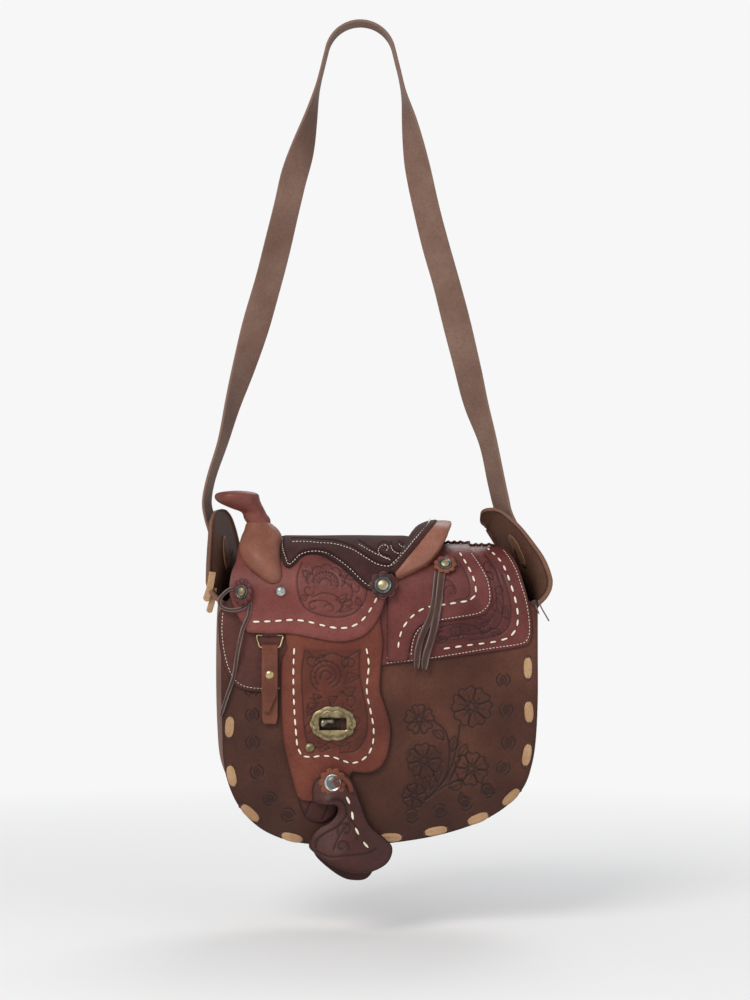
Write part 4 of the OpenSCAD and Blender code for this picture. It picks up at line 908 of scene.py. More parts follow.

# Fender with its tooled field and the lock's slot; the rows of its bend line are worked out, but the sheet
# is only baked in place and does not bend
lockSlot = {"at": (333, 723), "drop": 0.0005, "size": (0.024, 0.0105), "room": 0.0014}
slotCentre = place(lockSlot["at"]) + [0, -lockSlot["drop"]]
corners = ((-1, -1), (1, -1), (1, 1), (-1, 1))
slotHole = [slotCentre + (np.array(lockSlot["size"]) / 2 + lockSlot["room"]) * k for k in corners]
fender = {
    "low": 0.0029, "high": 0.0054, "look": "fender_leather", "bevel": 0.0009, "bendRows": (636, 652),
    "outline": [
        (285, 605), (285, 625), (286, 641), (286.8, 648), (284, 655), (281.5, 663), (281, 690),
        (283, 735), (287, 757), (292, 777), (298.5, 797), (309, 801), (322, 799), (336, 797), (346, 790),
        (349, 778), (352, 771.5), (368, 772.5), (380, 767), (388, 752), (390.5, 728), (385, 706),
        (380, 688), (381.5, 660), (383, 643), (381, 624), (378.5, 605), (350, 605), (317, 605)],
    "lines": [
        ([(305, 650), (302, 672), (303, 700), (304.5, 726), (308, 742), (318, 748)], 0.001, 0.0005),
        ([(360, 650), (359.5, 672), (363, 694), (367, 714), (366, 736), (356, 750), (340, 752)], 0.001,
         0.0005), ([(307, 651), (318, 658), (332, 653), (346, 657), (358, 651)], 0.0009, 0.0005),
        ([(321, 748), (330, 742), (342, 746), (352, 741)], 0.0009, 0.0005)],
    "scrolls": [((327, 676), size, size - 4, 120 + 15 * k, 300, 0.001, 0.0006)
                for k, size in enumerate((17, 12, 7))]
    + [(spot, 7, 2.2, start, sweep, 0.0009, 0.0006)
       for spot, start, sweep in (((350, 664), 200, 300), ((350, 700), 90, -300), ((311, 705), 260, 300),
                                  ((356, 722), 180, 260), ((310, 730), 300, -260), ((347, 747), 160, 260),
                                  ((312, 660), 40, 280))],
    "rays": [((327, 676), 12.5, 16.5, 150, 24, 10, 0.0004)],
    "leaves": [
        ((345, 684), (360, 676), -0.2, 0.28), ((341, 692), (356, 688), 0.15, 0.25),
        ((338, 696), (330, 706), 0.2, 0.28), ((322, 697), (313, 694), -0.2, 0.3),
        ((345, 668), (342, 656), 0.15, 0.3), ((316, 660), (326, 655), 0.1, 0.3),
        ((342, 704), (354, 711), 0.1, 0.3), ((320, 702), (308, 716), 0.15, 0.25),
        ((358, 730), (346, 740), 0.2, 0.28), ((318, 742), (330, 748), 0.2, 0.28)],
    "field": {
        "outline": [(302, 647), (299, 680), (301, 715), (303, 738), (313, 749), (335, 750), (355, 753),
                    (368, 741), (369, 715), (363, 690), (363, 647)],
        "amount": 0.55}}
bend = [(place((330, 333))[0], -halfDepth - fender["high"], place((330, row))[1] - dropHeight)
        for row in fender["bendRows"]]
leatherSheet("fenderSheet", ["fender_root", "fender"], "", fender, holes=[slotHole],
             across=("flap", "fender_leaf", *bend))
stirrupLeather = {
    "low": 0.0003, "high": 0.0026, "look": "dark_leather",
    "outline": [(293, 742), (340, 742), (341, 790), (337, 806), (335, 814), (323, 822), (311, 820.5),
                (303.5, 814), (298, 797), (294, 775)],
    "lines": [
        ([(298, 797), (301, 807), (304.5, 817)], 0.0009, 0.0006),
        ([(312, 797), (308, 808), (304.5, 817)], 0.0009, 0.0006),
        ([(328, 803), (326, 812), (322, 820)], 0.0008, 0.0005)]}
leatherSheet("stirrupLeatherSheet", ["stirrup_leather"], "fender_leaf", stirrupLeather)
print("fender built")


# Node group: a rounded stitch on every point, laid along the point's direction
def stitchTree():
    tree = bpy.data.node_groups.new("stitchRow", "GeometryNodeTree")
    sizes = [(name, "Float", "INPUT") for name in ("Length", "Width", "Height")]
    sockets = [("Geometry", "Geometry", "INPUT"), *sizes, ("Seed", "Int", "INPUT"),
               ("Material", "Material", "INPUT"), ("Geometry", "Geometry", "OUTPUT")]
    for name, kind, way in sockets:
        tree.interface.new_socket(name=name, in_out=way, socket_type="NodeSocket" + kind)
    new, link = tree.nodes.new, tree.links.new
    start, end = new("NodeGroupInput"), new("NodeGroupOutput")
    ball = new("GeometryNodeMeshUVSphere")
    ball.inputs["Segments"].default_value, ball.inputs["Rings"].default_value = 10, 6
    ball.inputs["Radius"].default_value = 0.5
    size = new("ShaderNodeCombineXYZ")
    for i, name in enumerate(("Length", "Width", "Height")):
        link(start.outputs[name], size.inputs[i])
    along, up = new("GeometryNodeInputNamedAttribute"), new("GeometryNodeInputNamedAttribute")
    for node, name in ((along, "along"), (up, "up")):
        node.data_type = "FLOAT_VECTOR"
        node.inputs["Name"].default_value = name
    turnUp, turnAlong = new("FunctionNodeAlignRotationToVector"), new("FunctionNodeAlignRotationToVector")
    turnUp.axis, turnAlong.axis, turnAlong.pivot_axis = "Z", "X", "Z"
    link(up.outputs["Attribute"], turnUp.inputs["Vector"])
    link(turnUp.outputs[0], turnAlong.inputs["Rotation"])
    link(along.outputs["Attribute"], turnAlong.inputs["Vector"])
    vary = new("FunctionNodeRandomValue")
    vary.data_type = "FLOAT"
    vary.inputs[2].default_value, vary.inputs[3].default_value = 0.9, 1.08
    link(start.outputs["Seed"], vary.inputs["Seed"])
    scale = new("ShaderNodeVectorMath")
    scale.operation = "SCALE"
    link(size.outputs[0], scale.inputs[0])
    link(vary.outputs[1], scale.inputs["Scale"])
    toPoints = new("GeometryNodeMeshToPoints")
    link(start.outputs["Geometry"], toPoints.inputs["Mesh"])
    put = new("GeometryNodeInstanceOnPoints")
    link(toPoints.outputs[0], put.inputs["Points"])
    link(ball.outputs["Mesh"], put.inputs["Instance"])
    link(turnAlong.outputs[0], put.inputs["Rotation"])
    link(scale.outputs[0], put.inputs["Scale"])
    real, paint = new("GeometryNodeRealizeInstances"), new("GeometryNodeSetMaterial")
    link(put.outputs[0], real.inputs[0])
    link(real.outputs[0], paint.inputs["Geometry"])
    link(start.outputs["Material"], paint.inputs["Material"])
    link(paint.outputs[0], end.inputs[0])
    return tree


stitchGroup = stitchTree()


# Stitches on given points, made by the node group and kept as a plain mesh
def stitchRow(name, body, spots, ups, alongs, size, material, seed, nodes=()):
    mesh = bpy.data.meshes.new(name + "Points")
    mesh.from_pydata((np.array(spots) - [0, 0, dropHeight]).tolist(), [], [])
    for key, values in (("along", alongs), ("up", ups)):
        layer = mesh.attributes.new(key, "FLOAT_VECTOR", "POINT")
        layer.data.foreach_set("vector", np.array(values, np.float32).ravel())
    source = addObject(name + "Points", mesh)
    modifier = source.modifiers.new("stitches", "NODES")
    modifier.node_group = stitchGroup
    values = {"Length": size[0], "Width": size[1], "Height": size[2], "Seed": seed,
              "Material": looks[material]}
    for item in stitchGroup.interface.items_tree:
        if item.in_out == "INPUT" and item.name in values:
            modifier[item.identifier] = values[item.name]
    bpy.context.view_layer.update()
    graph = bpy.context.evaluated_depsgraph_get()
    made = bpy.data.meshes.new_from_object(source.evaluated_get(graph))
    bpy.data.objects.remove(source)
    smooth(made)
    return settle(addObject(name, made), body, nodes)


# Length, width and height of a stitch
stitchSize = {"lacing": (0.0066, 0.0018, 0.0013), "slot": (0.0086, 0.0015, 0.0005),
              "thread": (0.0021, 0.0006, 0.0005), "seat": (0.0021, 0.00065, 0.0006),
              "hood": (0.0078, 0.0023, 0.0014), "rawhideSlot": (0.0062, 0.0044, 0.0007)}


# A row of stitches along a picture path on the arch; lacing also gets dark marks at its slots, painted
# shade inside the cut slots
def rowOnArch(name, body, path, off, spacing, kind, seed, nodes=()):
    radius = halfDepth + off
    line = resample(unroll(curveThrough(path, 8), radius), spacing)
    middle, half = (line[1:] + line[:-1]) / 2, (line[1:] - line[:-1]) * 0.5
    spots, ups = wrapRound(middle, off, radius)
    front, _ = wrapRound(middle + half, off, radius)
    rear, _ = wrapRound(middle - half, off, radius)
    if kind == "lacing":
        # Dark marks under the lacing: painted shade inside the slots
        stitchRow(name + "Slots", body, spots, ups, front - rear, stitchSize["slot"], "dark_thong", seed)
    stitchRow(name, body, spots, ups, front - rear, stitchSize[kind], "white_lacing", seed, nodes)


# White lacing: body, CAD node, offset, spacing and path
lacing = {
    "skirtStitches": ("flap", "skirt_lacing", 0.0027, 0.0102,
                      [(488.5, 547.5), (493.5, 553), (498, 557), (503, 563.5), (507, 573), (511, 585),
                       (515, 598), (517.2, 609), (518, 623), (512.5, 635.5), (497, 641.3), (471, 644.7),
                       (441, 649)]),
    "rearStitches": ("flap", "rear_jockey_lacing", 0.005, 0.0098,
                     [(459.5, 551.5), (465, 561), (471.7, 573), (475, 583), (476.3, 593), (474, 599.5),
                      (466, 601), (443, 604.6), (428, 606.5), (419, 610.4), (411, 617), (404, 625.3),
                      (400, 634.5), (397.8, 650)]),
    "jockeyStitches": ("flap", "front_jockey_lacing", 0.008, 0.0103,
                       [(251, 621.5), (272, 621), (297, 619.5), (315, 623), (337, 628), (356, 625),
                        (369, 612), (378, 595)]),
    "fenderStitches": ("fender_leaf", "fender_lacing", 0.0055, 0.0092,
                       [(294.5, 646), (293.5, 670), (294, 700), (296, 730), (299, 752), (308, 757),
                        (322, 755), (336, 757), (350, 763), (362, 760), (371, 750), (374, 732),
                        (371, 712), (366.5, 690), (369, 665), (366, 646)])}
for seed, (name, (body, node, off, spacing, path)) in enumerate(lacing.items(), 1):
    rowOnArch(name, body, path, off, spacing, "lacing", seed, [node])

# Sewn edges of the flap: offset and path
threads = {
    "skirtThreadOuter": (0.0026,
                         [(504.6, 549.5), (509, 556), (513, 563), (517, 572), (521, 584.5), (525, 597),
                          (528, 612), (529.5, 628), (528, 637.5), (521, 643.5), (485, 649), (431, 657.8),
                          (386, 663)]),
    "skirtThreadInner": (0.0026, [(413, 653.7), (400, 655.5), (386, 657.8)]),
    "rearThread": (0.0049,
                   [(472, 553), (481, 567), (487.3, 580), (489.7, 595), (488.5, 604), (483.5, 610),
                    (474, 614), (438, 620), (425, 624.5), (418.5, 629.5), (414, 637), (412, 646),
                    (411, 655)]),
    "frontSkirtThread": (0.0026,
                         [(223, 612), (222, 632), (225, 655), (231, 673), (240, 684), (256, 688),
                          (284, 688)])}
threadStep = 0.0031
for seed, (name, (off, path)) in enumerate(threads.items(), 5):
    rowOnArch(name, "flap", path, off, threadStep, "thread", seed)
print("stitches built")

# Shoulder strap, over the peg and down both legs: column, row and turn of its width
strap = {
    "width": 0.025, "thick": 0.003, "pegRadius": 0.030, "wrap": 76,
    "left": [
        (315, 84, 85), (308.5, 112, 64), (300.5, 142, 34), (292, 170, 14), (285, 200, 6), (270, 262, 4),
        (258, 305, 8), (242, 360, 35), (230, 400, 60), (219.5, 440, 74), (208, 475, 79), (203.2, 500, 78),
        (206, 517, 74), (212, 535, 71), (216.5, 549, 68), (218, 560, 68), (218.5, 570, 68)],
    "right": [
        (404.8, 86, 85), (409.6, 110, 64), (414, 135, 44), (418.5, 160, 27), (427, 200, 8), (437, 240, 2),
        (450, 286, 4), (468, 358, 10), (478, 400, 30), (490.5, 440, 52), (499, 480, 56), (503.5, 500, 57),
        (506.5, 511, 60), (511.5, 522, 62), (518.5, 534, 64), (526, 547, 66), (530.5, 557, 67),
        (533.5, 567, 68)]}


# Middle, width direction and outward direction along one leg, from the peg down
def strapLeg(side, rows):
    arcRadius, wrap = strap["pegRadius"] + strap["thick"] / 2, math.radians(strap["wrap"])
    stations = []
    for k in range(3):
        reach = strap["width"] * k / 2
        stations.append((side * (arcRadius * math.sin(wrap) + math.cos(wrap) * reach),
                         dropHeight + arcRadius * math.cos(wrap) - math.sin(wrap) * reach, 90))
    stations += [(*place(row), row[2]) for row in rows]
    path = curveThrough(stations, 6)
    ahead = np.gradient(path[:, :2], axis=0)
    ahead = unit(np.stack([ahead[:, 0], np.zeros(len(path)), ahead[:, 1]], axis=1))
    yaw = np.radians(np.minimum(path[:, 2], 90))[:, None]
    sideways = np.stack([-ahead[:, 2], np.zeros(len(path)), ahead[:, 0]], axis=1) * side
    width = sideways * np.cos(yaw) + np.array([0, -1, 0]) * np.sin(yaw)
    face = np.cross(ahead, width) * -side
    return np.stack([path[:, 0], np.zeros(len(path)), path[:, 1]], axis=1), width, face


def buildStrap():
    left, right = strapLeg(-1, strap["left"]), strapLeg(1, strap["right"])
    radius, wrap = strap["pegRadius"] + strap["thick"] / 2, math.radians(strap["wrap"])
    angles = np.linspace(-wrap, wrap, 40)[1:-1]
    outward = np.stack([np.sin(angles), np.zeros(len(angles)), np.cos(angles)], axis=1)
    widthWay = np.tile([0.0, -1, 0], (len(angles), 1))
    middle = (outward * radius + [0, 0, dropHeight], widthWay, outward)
    spots, widths, faces = [np.vstack([left[i][::-1], middle[i], right[i]]) for i in range(3)]
    run = np.concatenate([[0], np.cumsum(np.linalg.norm(np.diff(spots, axis=0), axis=1))])
    rings = []
    for i in range(len(spots)):
        # A cut edge is never quite even, and the strap cups a little
        grow = 1 + 0.018 * math.sin(run[i] / 0.031) + 0.012 * math.sin(run[i] / 0.012 + 1)
        section = flatSection(strap["width"] * grow, strap["thick"] * 0.93, 6)
        cup = 0.0006 * (np.abs(section[:, :1]) / (strap["width"] / 2)) ** 2
        rings.append(spots[i] + widths[i] * section[:, :1] - faces[i] * (section[:, 1:] + cup - 0.0003))
    section = flatSection(strap["width"], strap["thick"], 6)
    rim = np.clip((np.abs(section[:, 0]) - strap["width"] / 2 + 0.0016) / 0.0014, 0, 1)
    loft("shoulderStrap", rings, "strap_suede", "strap", ["shoulder_strap"], values={"rim": rim})


buildStrap()

# Gusset with its two ears: column, row, half width, turn, bulge and flange shares
gusset = {
    "thick": 0.0024, "bulge": 0.0085, "flange": 0.012, "half": halfDepth - 0.0025, "curlFrom": 0.014,
    "curl": 22,
    "stations": [
        (213, 509.6, 0.12, 15, 0, 0), (213.2, 510.3, 0.27, 15, 0, 0), (213.6, 511.6, 0.4, 15, 0, 0),
        (214.5, 514.2, 0.53, 15, 0, 0), (216.5, 521, 0.7, 15, 0, 0), (219.5, 536, 0.79, 16, 0, 0),
        (221.5, 552, 0.84, 17, 0, 0), (222.5, 567, 0.88, 16, 0, 0), (223, 582, 0.93, 12, 0.25, 0),
        (223, 598, 1, 5, 0.7, 0.3), (222.5, 615, 1, 0, 0.9, 1), (222.5, 650, 1, 0, 1, 1),
        (222.5, 690, 1, 0, 1, 1), (223.5, 725, 1, 0, 1, 1), (225, 757, 1, 0, 0.9, 1),
        (229, 778, 1, 0, 0.6, 1), (238, 800, 1, 0, 0.35, 1), (252, 818, 1, 0, 0.2, 1),
        (271, 832, 1, 0, 0.12, 1), (300, 841, 1, 0, 0.1, 1), (345, 844, 1, 0, 0.1, 1),
        (392, 841, 1, 0, 0.1, 1), (440, 833, 1, 0, 0.1, 1), (479, 820, 1, 0, 0.12, 1),
        (505, 804, 1, 0, 0.2, 1), (522, 786, 1, 0, 0.25, 1), (530, 765, 1, 0, 0.3, 1),
        (534, 740, 1, 0, 0.35, 1), (536, 700, 1, 0, 0.4, 1), (536.5, 650, 1, 0, 0.4, 1),
        (536.5, 616, 1, 0, 0.4, 1), (536, 600, 1, 5, 0.35, 0.3), (534, 584, 0.93, 15, 0.15, 0),
        (529, 567, 0.85, 22, 0, 0), (521.5, 551, 0.77, 24, 0, 0), (513.5, 537, 0.66, 28, 0, 0),
        (506, 527, 0.54, 33, 0, 0), (497.5, 518, 0.42, 38, 0, 0), (490.5, 515.2, 0.31, 42, 0, 0),
        (486, 514.4, 0.24, 43, 0, 0), (483.6, 514.1, 0.175, 44, 0, 0), (482.4, 514, 0.1, 44, 0, 0)]}
gussetLine = curveThrough(gusset["stations"], 4)
gussetPlaces = np.array([place(q) for q in gussetLine])
gussetAhead = unit(np.gradient(gussetPlaces, axis=0))


# A point given across and through the gusset at a station
def onGusset(i, q):
    yaw = math.radians(max(gussetLine[i][3], 0))
    near = max(-q[1] - gusset["curlFrom"], 0)
    near *= 1 - min(max(gussetLine[i][5], 0), 1)
    near *= min(gussetLine[i][2], 1)
    q = (q[0] + gusset["curl"] * near ** 2, q[1])
    a, y = q[0] * math.cos(yaw) - q[1] * math.sin(yaw), q[0] * math.sin(yaw) + q[1] * math.cos(yaw)
    return (gussetPlaces[i][0] + gussetAhead[i][1] * a, y, gussetPlaces[i][1] - gussetAhead[i][0] * a)


# Outline of the U: outer face, then the inner face back again
def gussetSection(half, bulge, flange):
    t, steps = gusset["thick"], 12
    soft = t * 0.62
    outer = [(-flange, -half), (-soft, -half), (-soft * 0.3, -half + soft * 0.3), (0, -half + soft)]
    outer += [(bulge * math.sin(math.pi * k / steps), (half - soft) * (2 * k / steps - 1))
              for k in range(1, steps)]
    outer += [(0, half - soft), (-soft * 0.3, half - soft * 0.3), (-soft, half), (-flange, half)]
    inner = [(-flange, -half + t), (-t * 1.3, -half + t), (-t, -half + t * 1.3), (-t, -half + t * 1.5)]
    inner += [(bulge * math.sin(math.pi * k / steps) - t, (half - t * 1.5) * (2 * k / steps - 1))
              for k in range(1, steps)]
    inner += [(-t, half - t * 1.5), (-t, half - t * 1.3), (-t * 1.3, half - t), (-flange, half - t)]
    return outer + inner[::-1]


gussetRings = []
for i, station in enumerate(gussetLine):
    lip = gusset["thick"] * 1.6
    flange = lip + (gusset["flange"] - lip) * min(max(station[5], 0), 1)
    section = gussetSection(gusset["half"] * min(station[2], 1), gusset["bulge"] * max(station[4], 0),
                            flange)
    gussetRings.append([onGusset(i, q) for q in section])
# The inner face is darkened by half through the cuts attribute: painted shade inside the U and the ears'
# hollows
insideShade = np.repeat([0, 1], len(gussetRings[0]) // 2)
loft("sideGusset", gussetRings, "gusset_leather", "bag", ["side_gusset"],
     values={"carved": insideShade * 0.5})

# Strap tongues on the ears' inner faces, and the knots that hold the strap's ends
tongue = {
    "left": 20, "right": 132, "stations": 10, "face": -0.0033, "inside": -0.01, "depth": -0.005,
    "width": 0.013, "thick": 0.0014,
    "widths": [0.25, 0.6, 0.85, 0.97, 1, 1, 0.97, 0.85, 0.6, 0.25]}
for side in ("left", "right"):
    run = range(tongue[side], tongue[side] + tongue["stations"])
    spots, inside = (np.array([onGusset(i, (tongue[at], tongue["depth"])) for i in run])
                     for at in ("face", "inside"))
    ribbon("tongue" + side.title(), spots, unit(inside - spots), tongue["width"], tongue["thick"],
           "gusset_leather", "bag", [f"strap_tongue_{side}"], widths=tongue["widths"])
tie = {"height": 0.0405, "depth": -0.005, "row": 552,
       "left": (220.5, -1, -0.0075, 0.0085),
       "right": (525, 1, -0.0085, 0.0105)}
for hand in ("left", "right"):
    column, side, *reaches = tie[hand]
    x = place((column, tie["row"]))[0]
    for end, reach, way in (("In", reaches[0], -side), ("Out", reaches[1], side)):
        spot = np.array([x + side * reach, tie["depth"], tie["height"]])
        turned(f"straptie{hand}{end}", domeProfile(0.0034, 0.0012, 5), spot, (way, 0.02, 0), "dark_thong",
               "bag", [f"strap_tie_{hand}"] if end == "In" else ())
print("strap and gusset built")

# Swell and horn from level slices: row, left and right column, front and back depth in mm
swell = [
    (583, 268, 278, -50, -44), (580, 263, 280.5, -52, -42), (576, 258, 281.7, -53.5, -38),
    (570, 250.5, 282.5, -54.5, -30), (563, 244, 281.5, -54, -20), (555, 240, 280, -52, -10),
    (546, 238.3, 279.3, -47.5, -4), (537, 240, 280.8, -41, -3.5), (530, 243.2, 277.5, -36, -6),
    (524.5, 244.8, 271.5, -32.5, -9.5), (520, 247.5, 265, -30, -12), (517.5, 252, 259, -26, -16)]
horn = [(529, 251, 266, -28, -14), (524, 246.5, 269, -31, -10.5), (518.5, 242.6, 268.6, -31.3, -9.7),
        (513.5, 241, 265, -31, -10), (511, 238, 263.8, -32, -9.5), (508.5, 231, 262.5, -34, -8),
        (506, 225, 261.3, -36, -5.5), (503, 218.5, 259.8, -38.5, -2.5), (500, 214.5, 258.6, -40.3, -0.3),
        (497, 212.8, 258, -41, 0.8), (494, 213.5, 257, -40.3, 0), (492, 217, 253.5, -38, -2.5),
        (490.8, 224, 247, -34, -7), (490.2, 232, 240, -27, -14)]


# A form from level slices with rounded corners and a little unevenness
def slices(name, table, material, nodes, seed, crease):
    angles = fullTurn(56)
    across, through = (np.sign(w) * np.abs(w) ** 0.92 for w in (np.cos(angles), np.sin(angles)))
    rings = []
    for row, left, right, front, behind in curveThrough(table, 6):
        a, b = place((left, row)), place((right, row))
        middle, half = (a[0] + b[0]) / 2, (b[0] - a[0]) / 2
        level = np.full(len(angles), a[1])
        rough = wobble(np.stack([angles * 0.018, level], axis=1), 0.0045, seed) * crease
        rough = rough * np.clip(half / 0.01, 0, 1)
        x = middle + (half + rough) * across
        y = (front + behind) / 2000 + ((behind - front) / 2000 + rough) * through
        rings.append(np.stack([x, y, level], axis=1))
    loft(name, rings, material, "flap", nodes)


slices("swellCover", swell, "tan_leather", ["swell_cover", "swell_core"], 5, 0.0009)
slices("horn", horn, "horn_leather", ["horn_neck", "horn_cap"], 9, 0.0008)
print("swell and horn built")

# Seat: thin padded suede with sewn channels
seat = {"low": 0.0078, "high": 0.0110, "look": "seat_suede", "wave": 0.0004, "crown": 0.0018,
        "outline": [
            (276.4, 532), (277, 541), (278.2, 548), (281.5, 558.5), (284.5, 565.5), (289, 568),
            (295, 563.8), (300.6, 557.2), (308.3, 554), (318.5, 554), (326.1, 557.2), (336.3, 563.6),
            (346.5, 571.2), (356.7, 581.4), (364, 587.5), (372, 590), (379, 586), (385, 580), (391, 571),
            (396, 563), (402, 554), (409, 545), (414, 532), (380, 532), (340, 532), (300, 532)],
        "edgeStitch": [
            (280.8, 537.4), (282.2, 548), (286, 558.5), (288.9, 564.5), (295.5, 559), (300.6, 554),
            (310.8, 551.2), (321, 551.5), (328.7, 554), (338.9, 559.9), (349, 567.6), (358, 576.5),
            (365.7, 583.5), (370, 586)],
        "waveStitch": [
            (291, 541.5), (305, 541.3), (318.5, 542.5), (334, 543.6), (351.6, 549), (364.4, 556.6),
            (375.9, 563.4), (386, 566), (393, 564.6), (399, 559.5), (404, 553.5)],
        "curls": [
            [(358, 543.6), (368.2, 549.5), (378.4, 554.8), (389.9, 558.7)],
            [(391, 560), (383, 557), (378.5, 552), (379.5, 547), (385, 544.6), (388.5, 547.5),
             (386, 551)], [(391, 545), (392.4, 549.8), (397.5, 553.4), (403.2, 552.6), (406.6, 549)],
            [(399.2, 543.4), (400.8, 546), (405, 547.2), (408.4, 545.2)]]}
seatStrokes = [stroke(seat["edgeStitch"], 0.0013, 0.0009), stroke(seat["waveStitch"], 0.0013, 0.001)]
seatStrokes += [stroke(curl, 0.0011, 0.0007) for curl in seat["curls"]]
seatPiece = leatherSheet("seatCover", ["seat_cover", "seat_pad"], "flap", seat, seatStrokes,
                         puff=lambda flat, gap: seat["crown"] * np.clip(gap / 0.008, 0, 1) ** 0.7)
for k, path in enumerate([seat["edgeStitch"], seat["waveStitch"]] + seat["curls"]):
    rowOnArch(f"seatThread{k}", "flap", path, seat["high"] + (0.0021 if k else 0.0007), 0.0032, "seat",
              20 + k)

# Cantle: rim's inner edge, rim's outer edge, foot, depth of the rim, and where the suede meets the seat
cantle = [
    {"rim": (394.5, 571.5), "outer": (397, 577.5), "foot": (400, 579), "depth": -47.5, "seat": (389, 571),
     "hollow": (392, 569.5), "thread": (390, 566.8)},
    {"rim": (407, 556), "outer": (416, 568), "foot": (416, 571), "depth": -46, "seat": (395, 562),
     "hollow": (400.5, 558), "thread": (402.5, 555)},
    {"rim": (417.5, 543.5), "outer": (430.5, 559.5), "foot": (430, 563.5), "depth": -41,
     "seat": (401, 552), "hollow": (408, 547), "thread": (412.5, 543)},
    {"rim": (427, 531.5), "outer": (443.5, 542.5), "foot": (439, 553), "depth": -34, "seat": (404, 545.5),
     "hollow": (413, 538), "thread": (421.5, 533)},
    {"rim": (433, 524.5), "outer": (449.5, 531), "foot": (443, 545), "depth": -24, "seat": (405, 542),
     "hollow": (415.5, 531), "thread": (427.5, 526)},
    {"rim": (436, 521.3), "outer": (452.6, 524), "foot": (446, 541), "depth": -13, "seat": (406, 541),
     "hollow": (416, 528), "thread": (430.5, 521.5)},
    {"rim": (436.5, 520.3), "outer": (452.6, 521), "foot": (447, 540), "depth": -2, "seat": (406.5, 541),
     "hollow": (416, 527), "thread": (431, 520)},
    {"rim": (436.5, 520.3), "outer": (452.4, 521), "foot": (447, 540), "depth": 7.5, "seat": (406.5, 541),
     "hollow": (416, 527), "thread": (431, 520)}]
cantleRings, suedeRings, threadLine, holeLine = [], [], [], []
for part in cantle:
    y = part["depth"] / 1000
    low = part["depth"] < -20
    lean = -0.003 if low else 0.0
    rim, outer, foot, seatEdge, hollow = (place(part[key])
                                          for key in ("rim", "outer", "foot", "seat", "hollow"))
    footDepth = min(archSpot(part["foot"], 0.0056)[0][1], y + 0.006) if low else y
    seatY = max(archSpot(part["seat"], 0.0108)[0][1], y - 0.004) if low else y
    mid = (rim + outer) / 2
    cantleRings.append([
        (rim[0], y + lean * 0.6, rim[1]), (rim[0] + 0.0012, y + lean - 0.0006, rim[1] + 0.0002),
        (mid[0], y + lean * 1.3 - 0.0014, mid[1] + 0.0007),
        (outer[0] - 0.0012, y + lean - 0.0004, outer[1] + 0.0004),
        (outer[0], y + lean * 0.5 + 0.001, outer[1] - 0.0006),
        (outer[0] - 0.001, y + 0.0024, outer[1] - 0.0022), (foot[0], footDepth + 0.001, foot[1]),
        (foot[0] - 0.007, footDepth + 0.0035, foot[1]), (rim[0] + 0.003, y + 0.004, rim[1] - 0.004),
        (rim[0] - 0.0002, y + 0.0012, rim[1] - 0.001)])
    rimY, hollowY = y + lean - 0.0012, (y + seatY) / 2 - 0.0008
    suedeRings.append([
        (rim[0] + 0.0016, rimY - 0.0002, rim[1] + 0.0006), (rim[0] - 0.0022, rimY, rim[1] + 0.0009),
        ((rim[0] + hollow[0]) / 2 - 0.0012, (rimY + hollowY) / 2, (rim[1] + hollow[1]) / 2 + 0.0018),
        (hollow[0], hollowY, hollow[1]), (seatEdge[0], seatY, seatEdge[1] + 0.0008),
        (seatEdge[0] - 0.002, seatY + 0.004, seatEdge[1] - 0.004),
        (hollow[0] + 0.006, hollowY + 0.004, hollow[1] - 0.008),
        (rim[0] + 0.0018, y + 0.002, rim[1] - 0.002)])
    spot = place(part["thread"])
    share = min(max((rim[0] - spot[0]) / max(rim[0] - hollow[0], 1e-6), 0), 1)
    threadLine.append((spot[0], rimY + (hollowY - rimY) * share - 0.0012, spot[1] + 0.0012))
    holeLine.append((rim[0] + 0.0004, rimY - 0.0008, rim[1] + 0.0006))


def roundRings(rings):
    flat = curveThrough(np.array(rings).reshape(len(rings), -1), 6)
    return [curveThrough(ring, 3, True) for ring in flat.reshape(-1, len(rings[0]), 3)]


loft("cantle", roundRings(cantleRings), "cantle_leather", "flap", ["cantle"])
loft("cantleSuede", roundRings(suedeRings), "seat_suede", "flap")
# White thread, and dark marks along the rim: painted shade in the stitch holes
for name, line, seed, material in (("cantleThread", threadLine, 31, "white_lacing"),
                                   ("cantleHoles", holeLine, 32, "dark_thong")):
    line = resample(curveThrough(line, 8), 0.0029)
    middle = (line[1:] + line[:-1]) / 2
    ups = np.tile([-0.3, -0.9, 0.3], (len(middle), 1))
    stitchRow(name, "flap", middle, ups, line[1:] - line[:-1], stitchSize["seat"], material, seed)
print("seat and cantle built")

# Rawhide lacing at the body's edge: column, row and lean of each stitch
rawhide = {
    "length": 0.0205, "width": 0.0082, "height": 0.0016,
    "front": [
        (229.5, 727, 88), (231.5, 776, 105), (250, 813, 140), (292, 837.5, 167), (391, 837.5, 183),
        (436, 831, 194), (478, 818.5, 200), (511, 797, 222), (527, 755, 262), (529, 712, 272),
        (528, 668, 274)],
    "back": [
        (229.5, 727, 88), (231.5, 776, 105), (250, 813, 140), (292, 837.5, 167), (341, 841, 178),
        (391, 837.5, 183), (436, 831, 194), (478, 818.5, 200), (511, 797, 222), (527, 755, 262),
        (529, 712, 272), (528, 668, 274), (230.5, 680, 90)]}


